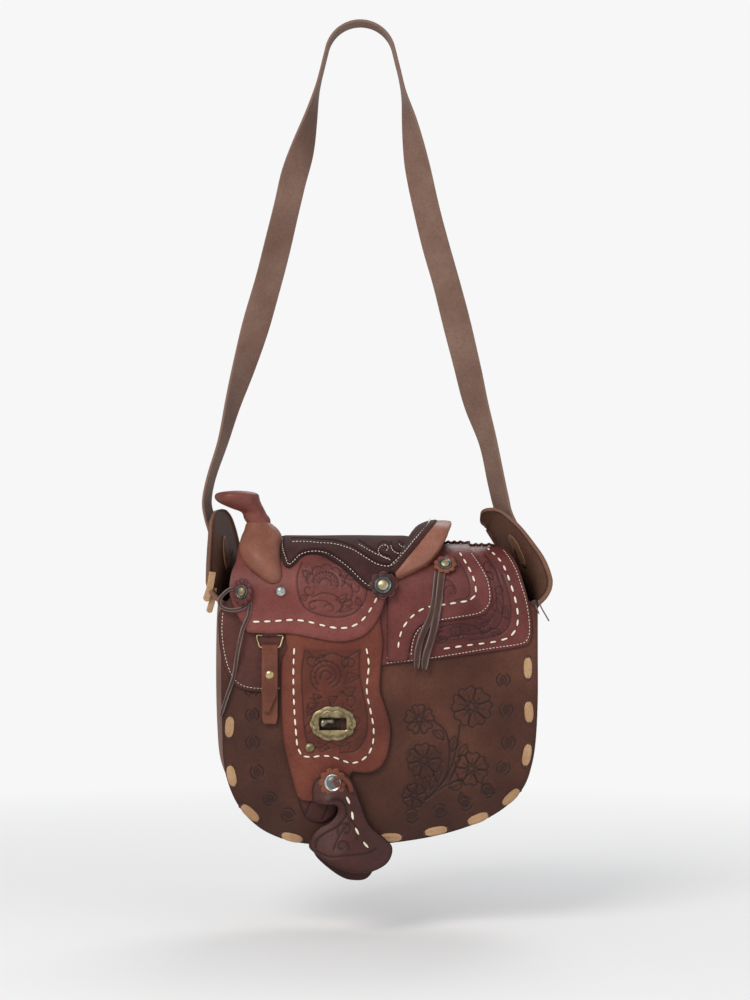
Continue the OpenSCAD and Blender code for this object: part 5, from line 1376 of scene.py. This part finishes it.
# Rounded, slightly domed thongs that dip into their slots at both ends
def rawhideRow(name, side, node, seed):
    state = np.random.RandomState(seed)
    vertices, faces, slots, slotAlong = [], [], [], []
    steps, around = 6, 28
    angles = fullTurn(around)
    shape = np.stack([np.sign(w) * np.abs(w) ** 0.62 for w in (np.cos(angles), np.sin(angles))], axis=1)
    for column, row, lean in rawhide["front" if side < 0 else "back"]:
        spot = place((column, row))
        turn = math.radians(lean + state.uniform(-4, 4))
        length = rawhide["length"] * state.uniform(0.93, 1.06)
        width = rawhide["width"] * state.uniform(0.9, 1.06)
        along = np.array([math.cos(turn), math.sin(turn)])
        across = np.array([-math.sin(turn), math.cos(turn)])
        start = len(vertices)
        for k in range(steps + 1):
            share = math.cos(math.pi / 2 * k / steps) if k else 1.0
            rise = rawhide["height"] * math.sin(math.pi / 2 * k / steps) ** 0.5
            for u, v in shape:
                pinch = 1 - 0.3 * abs(u * share) ** 3
                flat = spot + along * u * share * length / 2 + across * v * share * pinch * width / 2
                high = rise * (1 - 0.55 * abs(u * share) ** 4) + 0.0001
                high += 0.00022 * math.sin(v * share * 6 + turn * 5)
                vertices.append((flat[0], side * (halfDepth + high), flat[1]))
        for k in range(steps):
            for i in range(around):
                a, b = start + k * around + i, start + k * around + (i + 1) % around
                faces.append((a, b, b + around, a + around))
        faces.append(tuple(start + i for i in range(around))[::-1])
        for way in (-1, 1):
            end = spot + along * way * length * 0.5
            slots.append((end[0], side * (halfDepth + 0.0002), end[1]))
            slotAlong.append((across[0], 0, across[1]))
    obj = newObject(name, vertices, faces, "rawhide")
    faceOutwards(obj.data, 1e-7)
    settle(obj, "bag", [node])
    # Dark marks at the thongs' ends: painted shade inside the slots
    stitchRow(name + "Slots", "bag", slots, [(0, side, 0)] * len(slots), slotAlong,
              stitchSize["rawhideSlot"], "dark_thong", seed)


rawhideRow("frontLacing", -1, "front_lacing", 41)
rawhideRow("backLacing", 1, "back_lacing", 42)

# Whip lacing along the ridge behind the cantle
whip = {"from": 433, "to": 497, "turns": 9, "steps": 12, "wire": 0.0013, "high": 0.0009, "wide": 0.0038,
        "step": 470, "raised": 0.0022}
ridgeHeight = archHeight + halfDepth + 0.0026
whipPath = []
for k in range(whip["turns"] * whip["steps"] + 1):
    t = k / (whip["turns"] * whip["steps"])
    angle = 2 * math.pi * whip["turns"] * t + 0.8 * math.sin(t * 17)
    x = place((whip["from"] + (whip["to"] - whip["from"]) * t, 0))[0]
    raised = whip["raised"] if x < place((whip["step"], 0))[0] else 0.0
    z = ridgeHeight + raised + whip["wire"] * 0.9 + whip["high"] * math.sin(angle)
    whipPath.append((x + 0.0012 * math.sin(angle * 2), 0.0025 + whip["wide"] * math.cos(angle), z))
tube("ridgeLacing", whipPath, whip["wire"], "dark_leather", "flap", ["ridge_lacing"], sides=8)

# Loose ends of the lacing at the foot of each ear
laceEnds = {
    "left": [([(212, 572), (210, 585), (206.5, 597), (204.5, 601)], -0.0365, 0.0062),
             ([(213, 588), (211.5, 600), (209, 609), (208, 613)], -0.0322, 0.0056)],
    "right": [([(538.5, 600), (541, 607), (545, 614), (549, 621)], -0.0433, 0.0013),
              ([(534.5, 600), (536, 606), (538, 611), (539, 614)], -0.0433, 0.0012)]}
for side, material in (("left", "rawhide"), ("right", "dark_thong")):
    for k, (path, depth, width) in enumerate(laceEnds[side]):
        flat = places(curveThrough(path, 5))
        spots = np.stack([flat[:, 0], np.full(len(flat), depth), flat[:, 1]], axis=1)
        taper = 0.75 if side == "left" else 0
        widths = [1 - taper * max(0, (i / len(flat) - 0.75) * 4) for i in range(len(flat))]
        ribbon(f"laceEnd{side}{k}", spots, [(0.15, -1, 0)] * len(flat), width, 0.0012, material, "bag",
               [f"lace_ends_{side}"] if k == 0 else (), widths=widths)
spot, normal = archSpot((534, 603), 0.0008)
turned("laceKnot", domeProfile(0.0028, 0.0016), spot, normal, "dark_thong", "bag")
print("lacing built")

# Rosettes with their conchos: place, offset, radius, petals and turn about the upright
rosetteProfile = [(0.02, 0.15), (0.3, 0.5), (0.55, 0.62), (0.8, 0.58), (0.93, 0.5), (1.0, 0.32),
                  (1.0, 0.1), (0.96, 0.0), (0.02, 0.0)]
rosettes = {
    "front": {
        "at": (243, 591.5), "off": 0.0122, "radius": 0.0118, "oval": (0.84, 1.06), "petals": 11,
        "concho": 0.0062, "material": "maroon_leather", "body": "flap", "lean": (-0.42, 0, 0),
        "nodes": ("rosette_front", "concho_front")},
    "seat": {
        "at": (383, 585), "off": 0.0122, "radius": 0.0125, "oval": (1, 1), "petals": 8, "concho": 0.0078,
        "material": "dark_leather", "body": "flap", "lean": (0, 0, 0),
        "nodes": ("rosette_seat", "concho_seat")},
    "rear": {
        "at": (445, 564.5), "off": 0.0084, "radius": 0.0104, "oval": (1, 0.9), "petals": 9,
        "concho": 0.0062, "material": "rosette_leather", "body": "flap", "lean": (0, 0, 0),
        "nodes": ("rosette_rear", "concho_rear")},
    "stirrup": {
        "at": (333, 781), "off": 0.0148, "radius": 0.0130, "oval": (0.96, 1.04), "petals": 10,
        "concho": 0.0078, "material": "rosette_leather", "body": "fender_leaf", "lean": (0, 0, 0),
        "nodes": ("stirrup_rosette", "stirrup_concho")}}
conchoProfile = [(1.0, -0.2), (1.0, 0.12), (0.94, 0.26), (0.85, 0.28), (0.76, 0.14), (0.66, 0.12),
                 (0.6, 0.2), (0.02, 0.2)]
rosetteThick, conchoHeight = 0.0022, 0.005
rosetteShades = [0.9, 0.9, 0.6, 0.15, 0.5, 0.0, 0.4, 0.4, 0.4]
for name, given in rosettes.items():
    spot, normal = archSpot(given["at"], given["off"])
    normal = unit(normal + np.array(given["lean"]))
    r, c, bright = given["radius"], given["concho"], name == "stirrup"
    leatherNode, metalNode = given["nodes"]
    # pale lightens each rosette's top rim ring: a painted highlight, pink on the seat rosette
    turned(name + "Rosette", [(a * r, b * rosetteThick) for a, b in rosetteProfile], spot, normal,
           given["material"], given["body"], [leatherNode], lobes=given["petals"], depth=0.17,
           groove=0.0005, sides=given["petals"] * 12, oval=given["oval"], shades=rosetteShades,
           pale=1.0 if name == "seat" else 0.4)
    above = spot + normal * (rosetteThick * 0.62)
    oval = (given["oval"][0] ** 0.5, given["oval"][1] ** 0.5)
    shades = [0.2, 0, 0, 0, 0.6, 1, 1, 1] if bright else [0.5, 0, 0, 0.2, 0.8, 0.8, 0.4, 0.4]
    turned(name + "Concho", [(a * c, b * conchoHeight) for a, b in conchoProfile], above, normal,
           "pewter" if bright else "dark_pewter", given["body"], [metalNode], lobes=24, depth=0.02,
           groove=0.0001, sides=96, oval=oval, shades=shades)
    if not bright:
        stone = [(0.66 * c, -0.0004), (0.66 * c, 0.0011), (0.56 * c, 0.0019), (0.3 * c, 0.0023),
                 (0.02 * c, 0.0024)]
        material = "old_brass" if name == "front" else "stone_brass"
        turned(name + "Stone", stone, above, normal, material, given["body"], sides=48, oval=oval)

# Knot on the stirrup's concho: a curl of leather that runs off to the right
knotSpot, _ = archSpot((335, 781), 0.0192)
knotPath = [(352, 790), (349.5, 782), (344.5, 776.5), (338.5, 775.5), (335.5, 779), (337.5, 783),
            (341, 781.5)]
flat = places(curveThrough(knotPath, 6))
lift = np.interp(np.linspace(0, 1, len(flat)), [0, 0.25, 0.6, 1], [-0.0008, 0.0002, 0.0002, -0.0002])
ribbon("stirrupKnot", np.stack([flat[:, 0], knotSpot[1] - lift, flat[:, 1]], axis=1),
       [(0, -1, 0)] * len(flat), 0.0036, 0.0016, "latigo_leather", "fender_leaf", ["stirrup_knot"])
spot, normal = archSpot((281, 591), 0.0080)
turned("domeRivet", domeProfile(0.0051, 0.0040), spot, normal, "pewter", "flap", ["dome_rivet"], sides=48)
spot, normal = archSpot((310, 747), 0.0055)
turned("fenderRivet", domeProfile(0.0048, 0.0032), spot, normal, "old_brass", "fender_leaf",
       ["fender_rivet"], lobes=18, depth=0.05, groove=0.0003, sides=72)

# Lock plate: engraved scalloped oval with its slot, the base behind it and the key
lockPlate = {
    "low": 0.0055, "high": 0.0070, "look": "old_brass", "fine": 0.0007, "coarse": 0.0016, "wave": 0.00008,
    "width": 0.042, "height": 0.032, "lobes": 10, "ring": (0.0178, 0.0126), "rivets": (0.0168, -0.00384)}
plateAt = place(lockSlot["at"])
angles = np.linspace(0, 2 * math.pi, 169)[:-1]
lobe = 1 - 0.075 * (1 - np.abs(np.cos(angles * lockPlate["lobes"] / 2)) ** 0.6)
plateOutline = np.stack([plateAt[0] + lockPlate["width"] / 2 * lobe * np.cos(angles),
                         plateAt[1] + lockPlate["height"] / 2 * lobe * np.sin(angles)], axis=1)


def toPixels(p):
    return (p[0] / unitX + pegColumn, springRow - p[1] / unitZ)


lockPlate["outline"] = [toPixels(p) for p in plateOutline[::3]]
wide, tall = lockPlate["ring"]
ring = [toPixels(plateAt + np.array([math.cos(a) * wide * b, math.sin(a) * tall * b]))
        for a, b in zip(angles[::6], lobe[::6] ** 2)]
slotEdge = [slotCentre + np.array(lockSlot["size"]) / 2 * k for k in corners]
leatherSheet("lockPlate", ["lock_plate"], "fender_leaf", lockPlate,
             [stroke(ring, 0.0006, 0.00025, 2, True)], holes=[slotEdge],
             puff=lambda flat, gap: 0.0009 * np.clip(gap / 0.006, 0, 1))
for k, side in enumerate((-1, 1)):
    reach, rise = lockPlate["rivets"]
    spot = np.array([plateAt[0] + side * reach, -halfDepth - 0.0076, plateAt[1] + rise])
    turned(f"plateRivet{k}", domeProfile(0.0019, 0.0009, 5), spot, (0, -1, 0), "old_brass", "fender_leaf",
           ["lock_rivets"] if k == 0 else (), sides=24)
# Turn key: half its length, its waist and bow, and the post behind it
turnKey = {
    "half": 0.006, "steps": 24, "bow": 0.0017, "waist": 0.0023, "front": 0.0102, "thick": 0.0022,
    "postRadius": 0.0016,
    "postSteps": (-0.004, -0.001, 0.003, 0.0085)}
keyAt = slotCentre + [-0.012 + 0.006 + 0.001, 0.00525 - 0.0018 - 0.0008]
keyRings, around = [], fullTurn(16)
for k in range(turnKey["steps"] + 1):
    t = -1 + 2 * k / turnKey["steps"]
    pinch = 0.72 + 0.28 * abs(t) ** 1.5
    end = math.sqrt(max(1 - abs(t) ** 8, 0.02))
    bow = 0.5 - 0.5 * math.tanh((t + 0.25) * 6)
    tall = (turnKey["waist"] * pinch + turnKey["bow"] * bow) * end
    x = np.full(len(around), keyAt[0] + t * turnKey["half"])
    y = -halfDepth - turnKey["front"] - turnKey["thick"] * end * np.sin(around) * (0.75 + 0.35 * bow)
    keyRings.append(np.stack([x, y, keyAt[1] - turnKey["bow"] * bow + tall * np.cos(around)], axis=1))
loft("turnKey", keyRings, "key_brass", "key", ["turn_key"])
keyPost = [(keyAt[0], -halfDepth - off, keyAt[1]) for off in turnKey["postSteps"]]
tube("keyPost", keyPost, turnKey["postRadius"], "key_brass", "key", sides=16)
print("fittings built")

# Dee ring, its tab, and the latigo folded round it
dee = {"at": (270, 635), "half": 0.0115, "drop": 0.011, "wire": 0.0009, "tilt": 12, "width": 0.014}
deeX, deeZ = place(dee["at"])
deeY = -halfDepth - 0.0042
tilt = math.radians(dee["tilt"])
low = dee["width"] / 2 + 0.0018
deeShape = [
    (-dee["half"] + 0.0012, 0.0), (-dee["half"] * 0.5, 0.0), (0, 0), (dee["half"] * 0.5, 0),
    (dee["half"] - 0.0012, 0.0), (dee["half"] - 0.0002, -0.0005), (dee["half"] + 0.0002, -0.002),
    (dee["half"] - 0.0009, -0.0058), (low + 0.0007, -dee["drop"] * 0.86), (low * 0.85, -dee["drop"]),
    (0, -dee["drop"]), (-low * 0.85, -dee["drop"]), (-low - 0.0007, -dee["drop"] * 0.86),
    (-dee["half"] + 0.0009, -0.0058), (-dee["half"] - 0.0002, -0.002), (-dee["half"] + 0.0002, -0.0005)]
deePath = [(deeX + u, deeY + v * math.sin(tilt), deeZ + v * math.cos(tilt))
           for u, v in curveThrough(deeShape, 5, True)]
tube("deeRing", deePath, dee["wire"], "brass_wire", "dee", ["dee_ring"], closed=True)
deeTab = {
    "low": 0.0028, "high": 0.0055, "look": "maroon_leather", "bevel": 0.0009, "coarse": 0.003,
    "smoothSteps": 2,
    "outline": [(dee["at"][0] + u, dee["at"][1] + v)
                for u, v in ((-8, -9), (8, -9), (8, 1.2), (-8, 1.2))]}
leatherSheet("deeTab", ["dee_tab"], "flap", deeTab)
foldY, foldZ = deeY - math.sin(tilt) * dee["drop"], deeZ - math.cos(tilt) * dee["drop"]
foldR = 0.0019
latigo = {"front": 0.0585, "back": 0.0690, "thick": 0.0015}
latigoPath = [(foldY - foldR - 0.0006 + 0.0012 * math.sin(k * 0.7),
               foldZ - latigo["front"] * (1 - k / 12)) for k in range(12)]
latigoPath += [(foldY + foldR * math.cos(a), foldZ + foldR * math.sin(a))
               for a in np.linspace(math.pi, 0, 9)]
latigoPath += [(foldY + foldR, foldZ - latigo["back"] * k / 10) for k in range(1, 11)]
latigoPath = curveThrough(latigoPath, 3)
share = np.linspace(0, 1, len(latigoPath))
frontPart = np.clip(1 - share / 0.17, 0, 1)
shift = -0.0032 * frontPart ** 1.4
spots = np.stack([deeX + shift, latigoPath[:, 0], latigoPath[:, 1]], axis=1)
latigoWidths = 1 - 0.72 * np.clip(1 - share / 0.13, 0, 1) ** 1.2
latigoWidths -= 0.25 * np.clip((share - 0.97) / 0.03, 0, 1)
ribbon("latigo", spots, -np.cross(unit(np.gradient(spots, axis=0)), (1, 0, 0)), dee["width"] * 1.02,
       latigo["thick"], "latigo_leather", "latigo_strap", ["latigo"], widths=latigoWidths)
rivetZ = place((0, 674))[1]
turned("latigoRivet", domeProfile(0.0041, 0.0022), (deeX, foldY - foldR - 0.0018, rivetZ), (0, -1, 0),
       "brass_wire", "latigo_strap", ["latigo_rivet"], sides=40)
print("dee ring and latigo built")

# Saddle strings: picture points, offsets at start and end, width, and body
strings = {
    "frontLoop": {
        "path": [(240, 589), (231, 589), (223.5, 594.5), (219.8, 600.5), (221.5, 606), (228.7, 609.5),
                 (239.6, 609), (247.5, 604.6), (250, 601)],
        "offs": (0.0088, 0.0100), "width": 0.0034, "body": "flap", "node": "front_loop"},
    "frontStub": {"path": [(250.5, 601.5), (250.4, 605.5), (250, 610)],
                  "offs": (0.0094, 0.0094), "width": 0.0036, "body": "flap", "node": ""},
    "frontStrand": {
        "path": [(250, 609.6), (249.3, 614.5), (246, 622), (242.5, 631.3), (237.6, 655), (233.7, 676.7),
                 (227.7, 694.5), (220.8, 715.5)],
        "offs": (0.0094, 0.0040), "width": 0.0036, "body": "front_string", "node": "front_strings"},
    "rearOne": {
        "path": [(438, 571), (436, 585), (434.5, 600), (430, 618), (422.5, 634), (418, 650),
                 (416.5, 668)],
        "offs": (0.0060, 0.0060), "width": 0.0060, "body": "rear_string", "node": "rear_strings"},
    "rearTwo": {
        "path": [(442, 571), (440, 585), (438.5, 601), (435, 622), (430.5, 640), (426, 655), (424, 669)],
        "offs": (0.0074, 0.0080), "width": 0.0064, "body": "rear_string", "node": ""}}
for name, given in strings.items():
    line = resample(curveThrough(given["path"], 8), 2.0)
    offs = np.interp(np.linspace(0, 1, len(line)), [0, 0.35, 0.62, 1],
                     [given["offs"][0], given["offs"][0], given["offs"][1], given["offs"][1]])
    pairs = [archSpot(p, off) for p, off in zip(line, offs)]
    twist = np.array([[0.35 * math.sin(i * 0.23), 0, 0] for i in range(len(line))])
    widths = [1 - 0.5 * max(0, (i / len(line) - 0.93) / 0.07) for i in range(len(line))]
    ribbon(name, [p[0] for p in pairs], [p[1] + t for p, t in zip(pairs, twist)], given["width"], 0.0014,
           "dark_thong", given["body"], [given["node"]] if given["node"] else (), widths=widths)
print("strings built")

# Stirrup hood: a leather wing bent about an upright cylinder, leaning forward to its toe
hood = {"low": -0.0022, "high": 0.0, "look": "dark_leather", "wave": 0.0008, "bevel": 0.0009,
        "radius": 0.105, "tilt": 9, "column": 338, "top": 769, "off": 0.0103,
        "outline": [
            (326, 774), (336, 769), (347, 773), (354, 783), (360, 800), (369, 822), (384, 836),
            (391.5, 844), (392, 852), (388, 860), (380, 865.5), (368, 869), (351, 868), (333, 861),
            (321, 853.5), (311, 846.5), (309.5, 841), (313, 832), (321, 824.5), (331, 819.5), (337, 812),
            (338.5, 806), (334, 802.5), (323, 803), (313, 800), (312, 789), (316, 779)],
        "lines": [([(328, 800), (338, 797), (345, 803), (347, 812)], 0.0016, 0.0006)],
        "scrolls": [((346, 827), 8, 2.5, 150, 320, 0.0009, 0.0005),
                    ((343, 843), 7, 2, 20, -300, 0.0009, 0.0005)],
        "stems": [
            ([(348, 812), (338, 824), (327, 830), (317, 838), (316, 845)], 0.0011, 0.0006),
            ([(316, 847), (330, 853), (350, 851), (366, 850), (376, 846)], 0.0009, 0.0005),
            ([(346, 812), (356, 824), (357, 836)], 0.0009, 0.0005),
            ([(350, 820), (341, 831), (334, 846)], 0.0009, 0.0005)]}


# Hood positions and normals; off is measured outwards from its outer face
def hoodSurface(flat, off):
    topX, topZ = place((hood["column"], hood["top"]))
    cosT, sinT = math.cos(math.radians(hood["tilt"])), math.sin(math.radians(hood["tilt"]))
    x = flat[:, 0] - topX
    down = (flat[:, 1] - topZ) / cosT
    bend = hood["radius"] - np.sqrt(hood["radius"] ** 2 - x ** 2) - off
    toe = np.exp(-((x - 0.006) / 0.022) ** 2 - ((down + 0.078) / 0.02) ** 2) * 0.0055
    roll = 0.0035 * np.exp(-((x + 0.006) / 0.006) ** 2 - ((down + 0.031) / 0.006) ** 2)
    y = -halfDepth - hood["off"] + hood["low"] + bend * cosT + down * sinT - toe - roll
    return np.stack([flat[:, 0], y, flat[:, 1]], axis=1), np.tile([0.0, -cosT, sinT], (len(flat), 1))


leatherSheet("stirrupHood", ["stirrup_hood"], "stirrup", hood, surface=hoodSurface,
             puff=lambda flat, gap: -0.0006 * np.exp(-(gap / 0.003)))
stirrupBack = {
    "low": 0.0057, "high": 0.0079, "look": "dark_leather", "coarse": 0.003, "wave": 0.0004,
    "outline": [
        (328, 776), (336, 771), (345, 775), (352, 788), (360, 808), (374, 832), (380, 850), (376, 864),
        (367, 877), (354, 879), (342, 876), (328, 866.5), (316, 855), (312, 845), (322, 832), (338, 820),
        (338, 806), (330, 794), (326, 784)]}
leatherSheet("stirrupBack", ["stirrup_back"], "stirrup", stirrupBack)
hoodRow = resample(places(curveThrough([(345, 791), (348.5, 796), (351.5, 805), (353, 819), (359, 833),
                                        (368, 844), (371, 848)], 8)), 0.0132)
hoodMiddle, hoodAhead = (hoodRow[1:] + hoodRow[:-1]) / 2, unit(hoodRow[1:] - hoodRow[:-1])
spots, ups = hoodSurface(hoodMiddle, 0.0002)
stitchRow("hoodStitches", "stirrup", spots, ups, [(a[0], 0, a[1]) for a in hoodAhead], stitchSize["hood"],
          "white_lacing", 51, ["stirrup_lacing"])
print("stirrup built")

# Floor, lights and a pale backdrop
floorHeight = boundsAtStart[0][2] - 0.05


def plainFloor(reach, shade, pale):
    mesh = bpy.data.meshes.new("floor")
    mesh.from_pydata([(-reach, -reach, floorHeight), (reach, -reach, floorHeight),
                      (reach, reach, floorHeight), (-reach, reach, floorHeight)], [], [(0, 1, 2, 3)])
    obj = addObject("floor", mesh)
    s = Shader("floor")
    s.put("Base Color", shade)
    s.put("Roughness", 0.9)
    across = s.node("VectorMath", {"operation": "LENGTH"}, {0: s.coord}, out="Value")
    seen = s.node("LightPath", out="Is Camera Ray")
    glow = s.node("Emission", inputs={"Color": (pale, pale, pale, 1), "Strength": 1.0})
    both = s.node("MixShader",
                  inputs={0: across.step(0.75, 1.5) * seen,
                          1: Socket(s.tree, s.surface.outputs[0]),
                          2: glow})
    s.tree.links.new(both.out, s.output.inputs[0])
    mesh.materials.append(s.material)


plainFloor(9, (0.88, 0.875, 0.87), 0.93)


def areaLight(name, spot, aim, size, power, tint=(1, 1, 1)):
    data = bpy.data.lights.new(name, "AREA")
    data.size, data.energy, data.color = size, power, tint
    obj = addObject(name, data)
    obj.location = spot
    obj.rotation_euler = (Vector(aim) - Vector(spot)).to_track_quat("-Z", "Y").to_euler()


bagMiddle = (0.0, 0.0, -0.55)
areaLight("key", (-0.9, -1.7, 0.7), bagMiddle, 1.0, 30, (1, 0.98, 0.95))
areaLight("fill", (1.6, -1.5, -0.1), bagMiddle, 1.6, 9, (0.95, 0.97, 1))
areaLight("rim", (0.4, 1.3, 0.9), bagMiddle, 1.0, 10)
world = bpy.data.worlds.new("world")
bpy.context.scene.world = world
world.use_nodes = True
tree = world.node_tree
softLight = tree.nodes["Background"]
softLight.inputs[0].default_value, softLight.inputs[1].default_value = (0.95, 0.97, 1, 1), 0.5
paleBack, choose, rayKind, either = (tree.nodes.new("ShaderNode" + kind)
                                     for kind in ("Background", "MixShader", "LightPath", "Math"))
paleBack.inputs[0].default_value, paleBack.inputs[1].default_value = (0.93, 0.93, 0.93, 1), 1.0
either.operation = "MAXIMUM"
tree.links.new(rayKind.outputs["Is Camera Ray"], either.inputs[0])
tree.links.new(rayKind.outputs["Is Transmission Ray"], either.inputs[1])
tree.links.new(either.outputs[0], choose.inputs[0])
tree.links.new(softLight.outputs[0], choose.inputs[1])
tree.links.new(paleBack.outputs[0], choose.inputs[2])
tree.links.new(choose.outputs[0], tree.nodes["World Output"].inputs[0])
bpy.context.scene.view_settings.view_transform = "Standard"
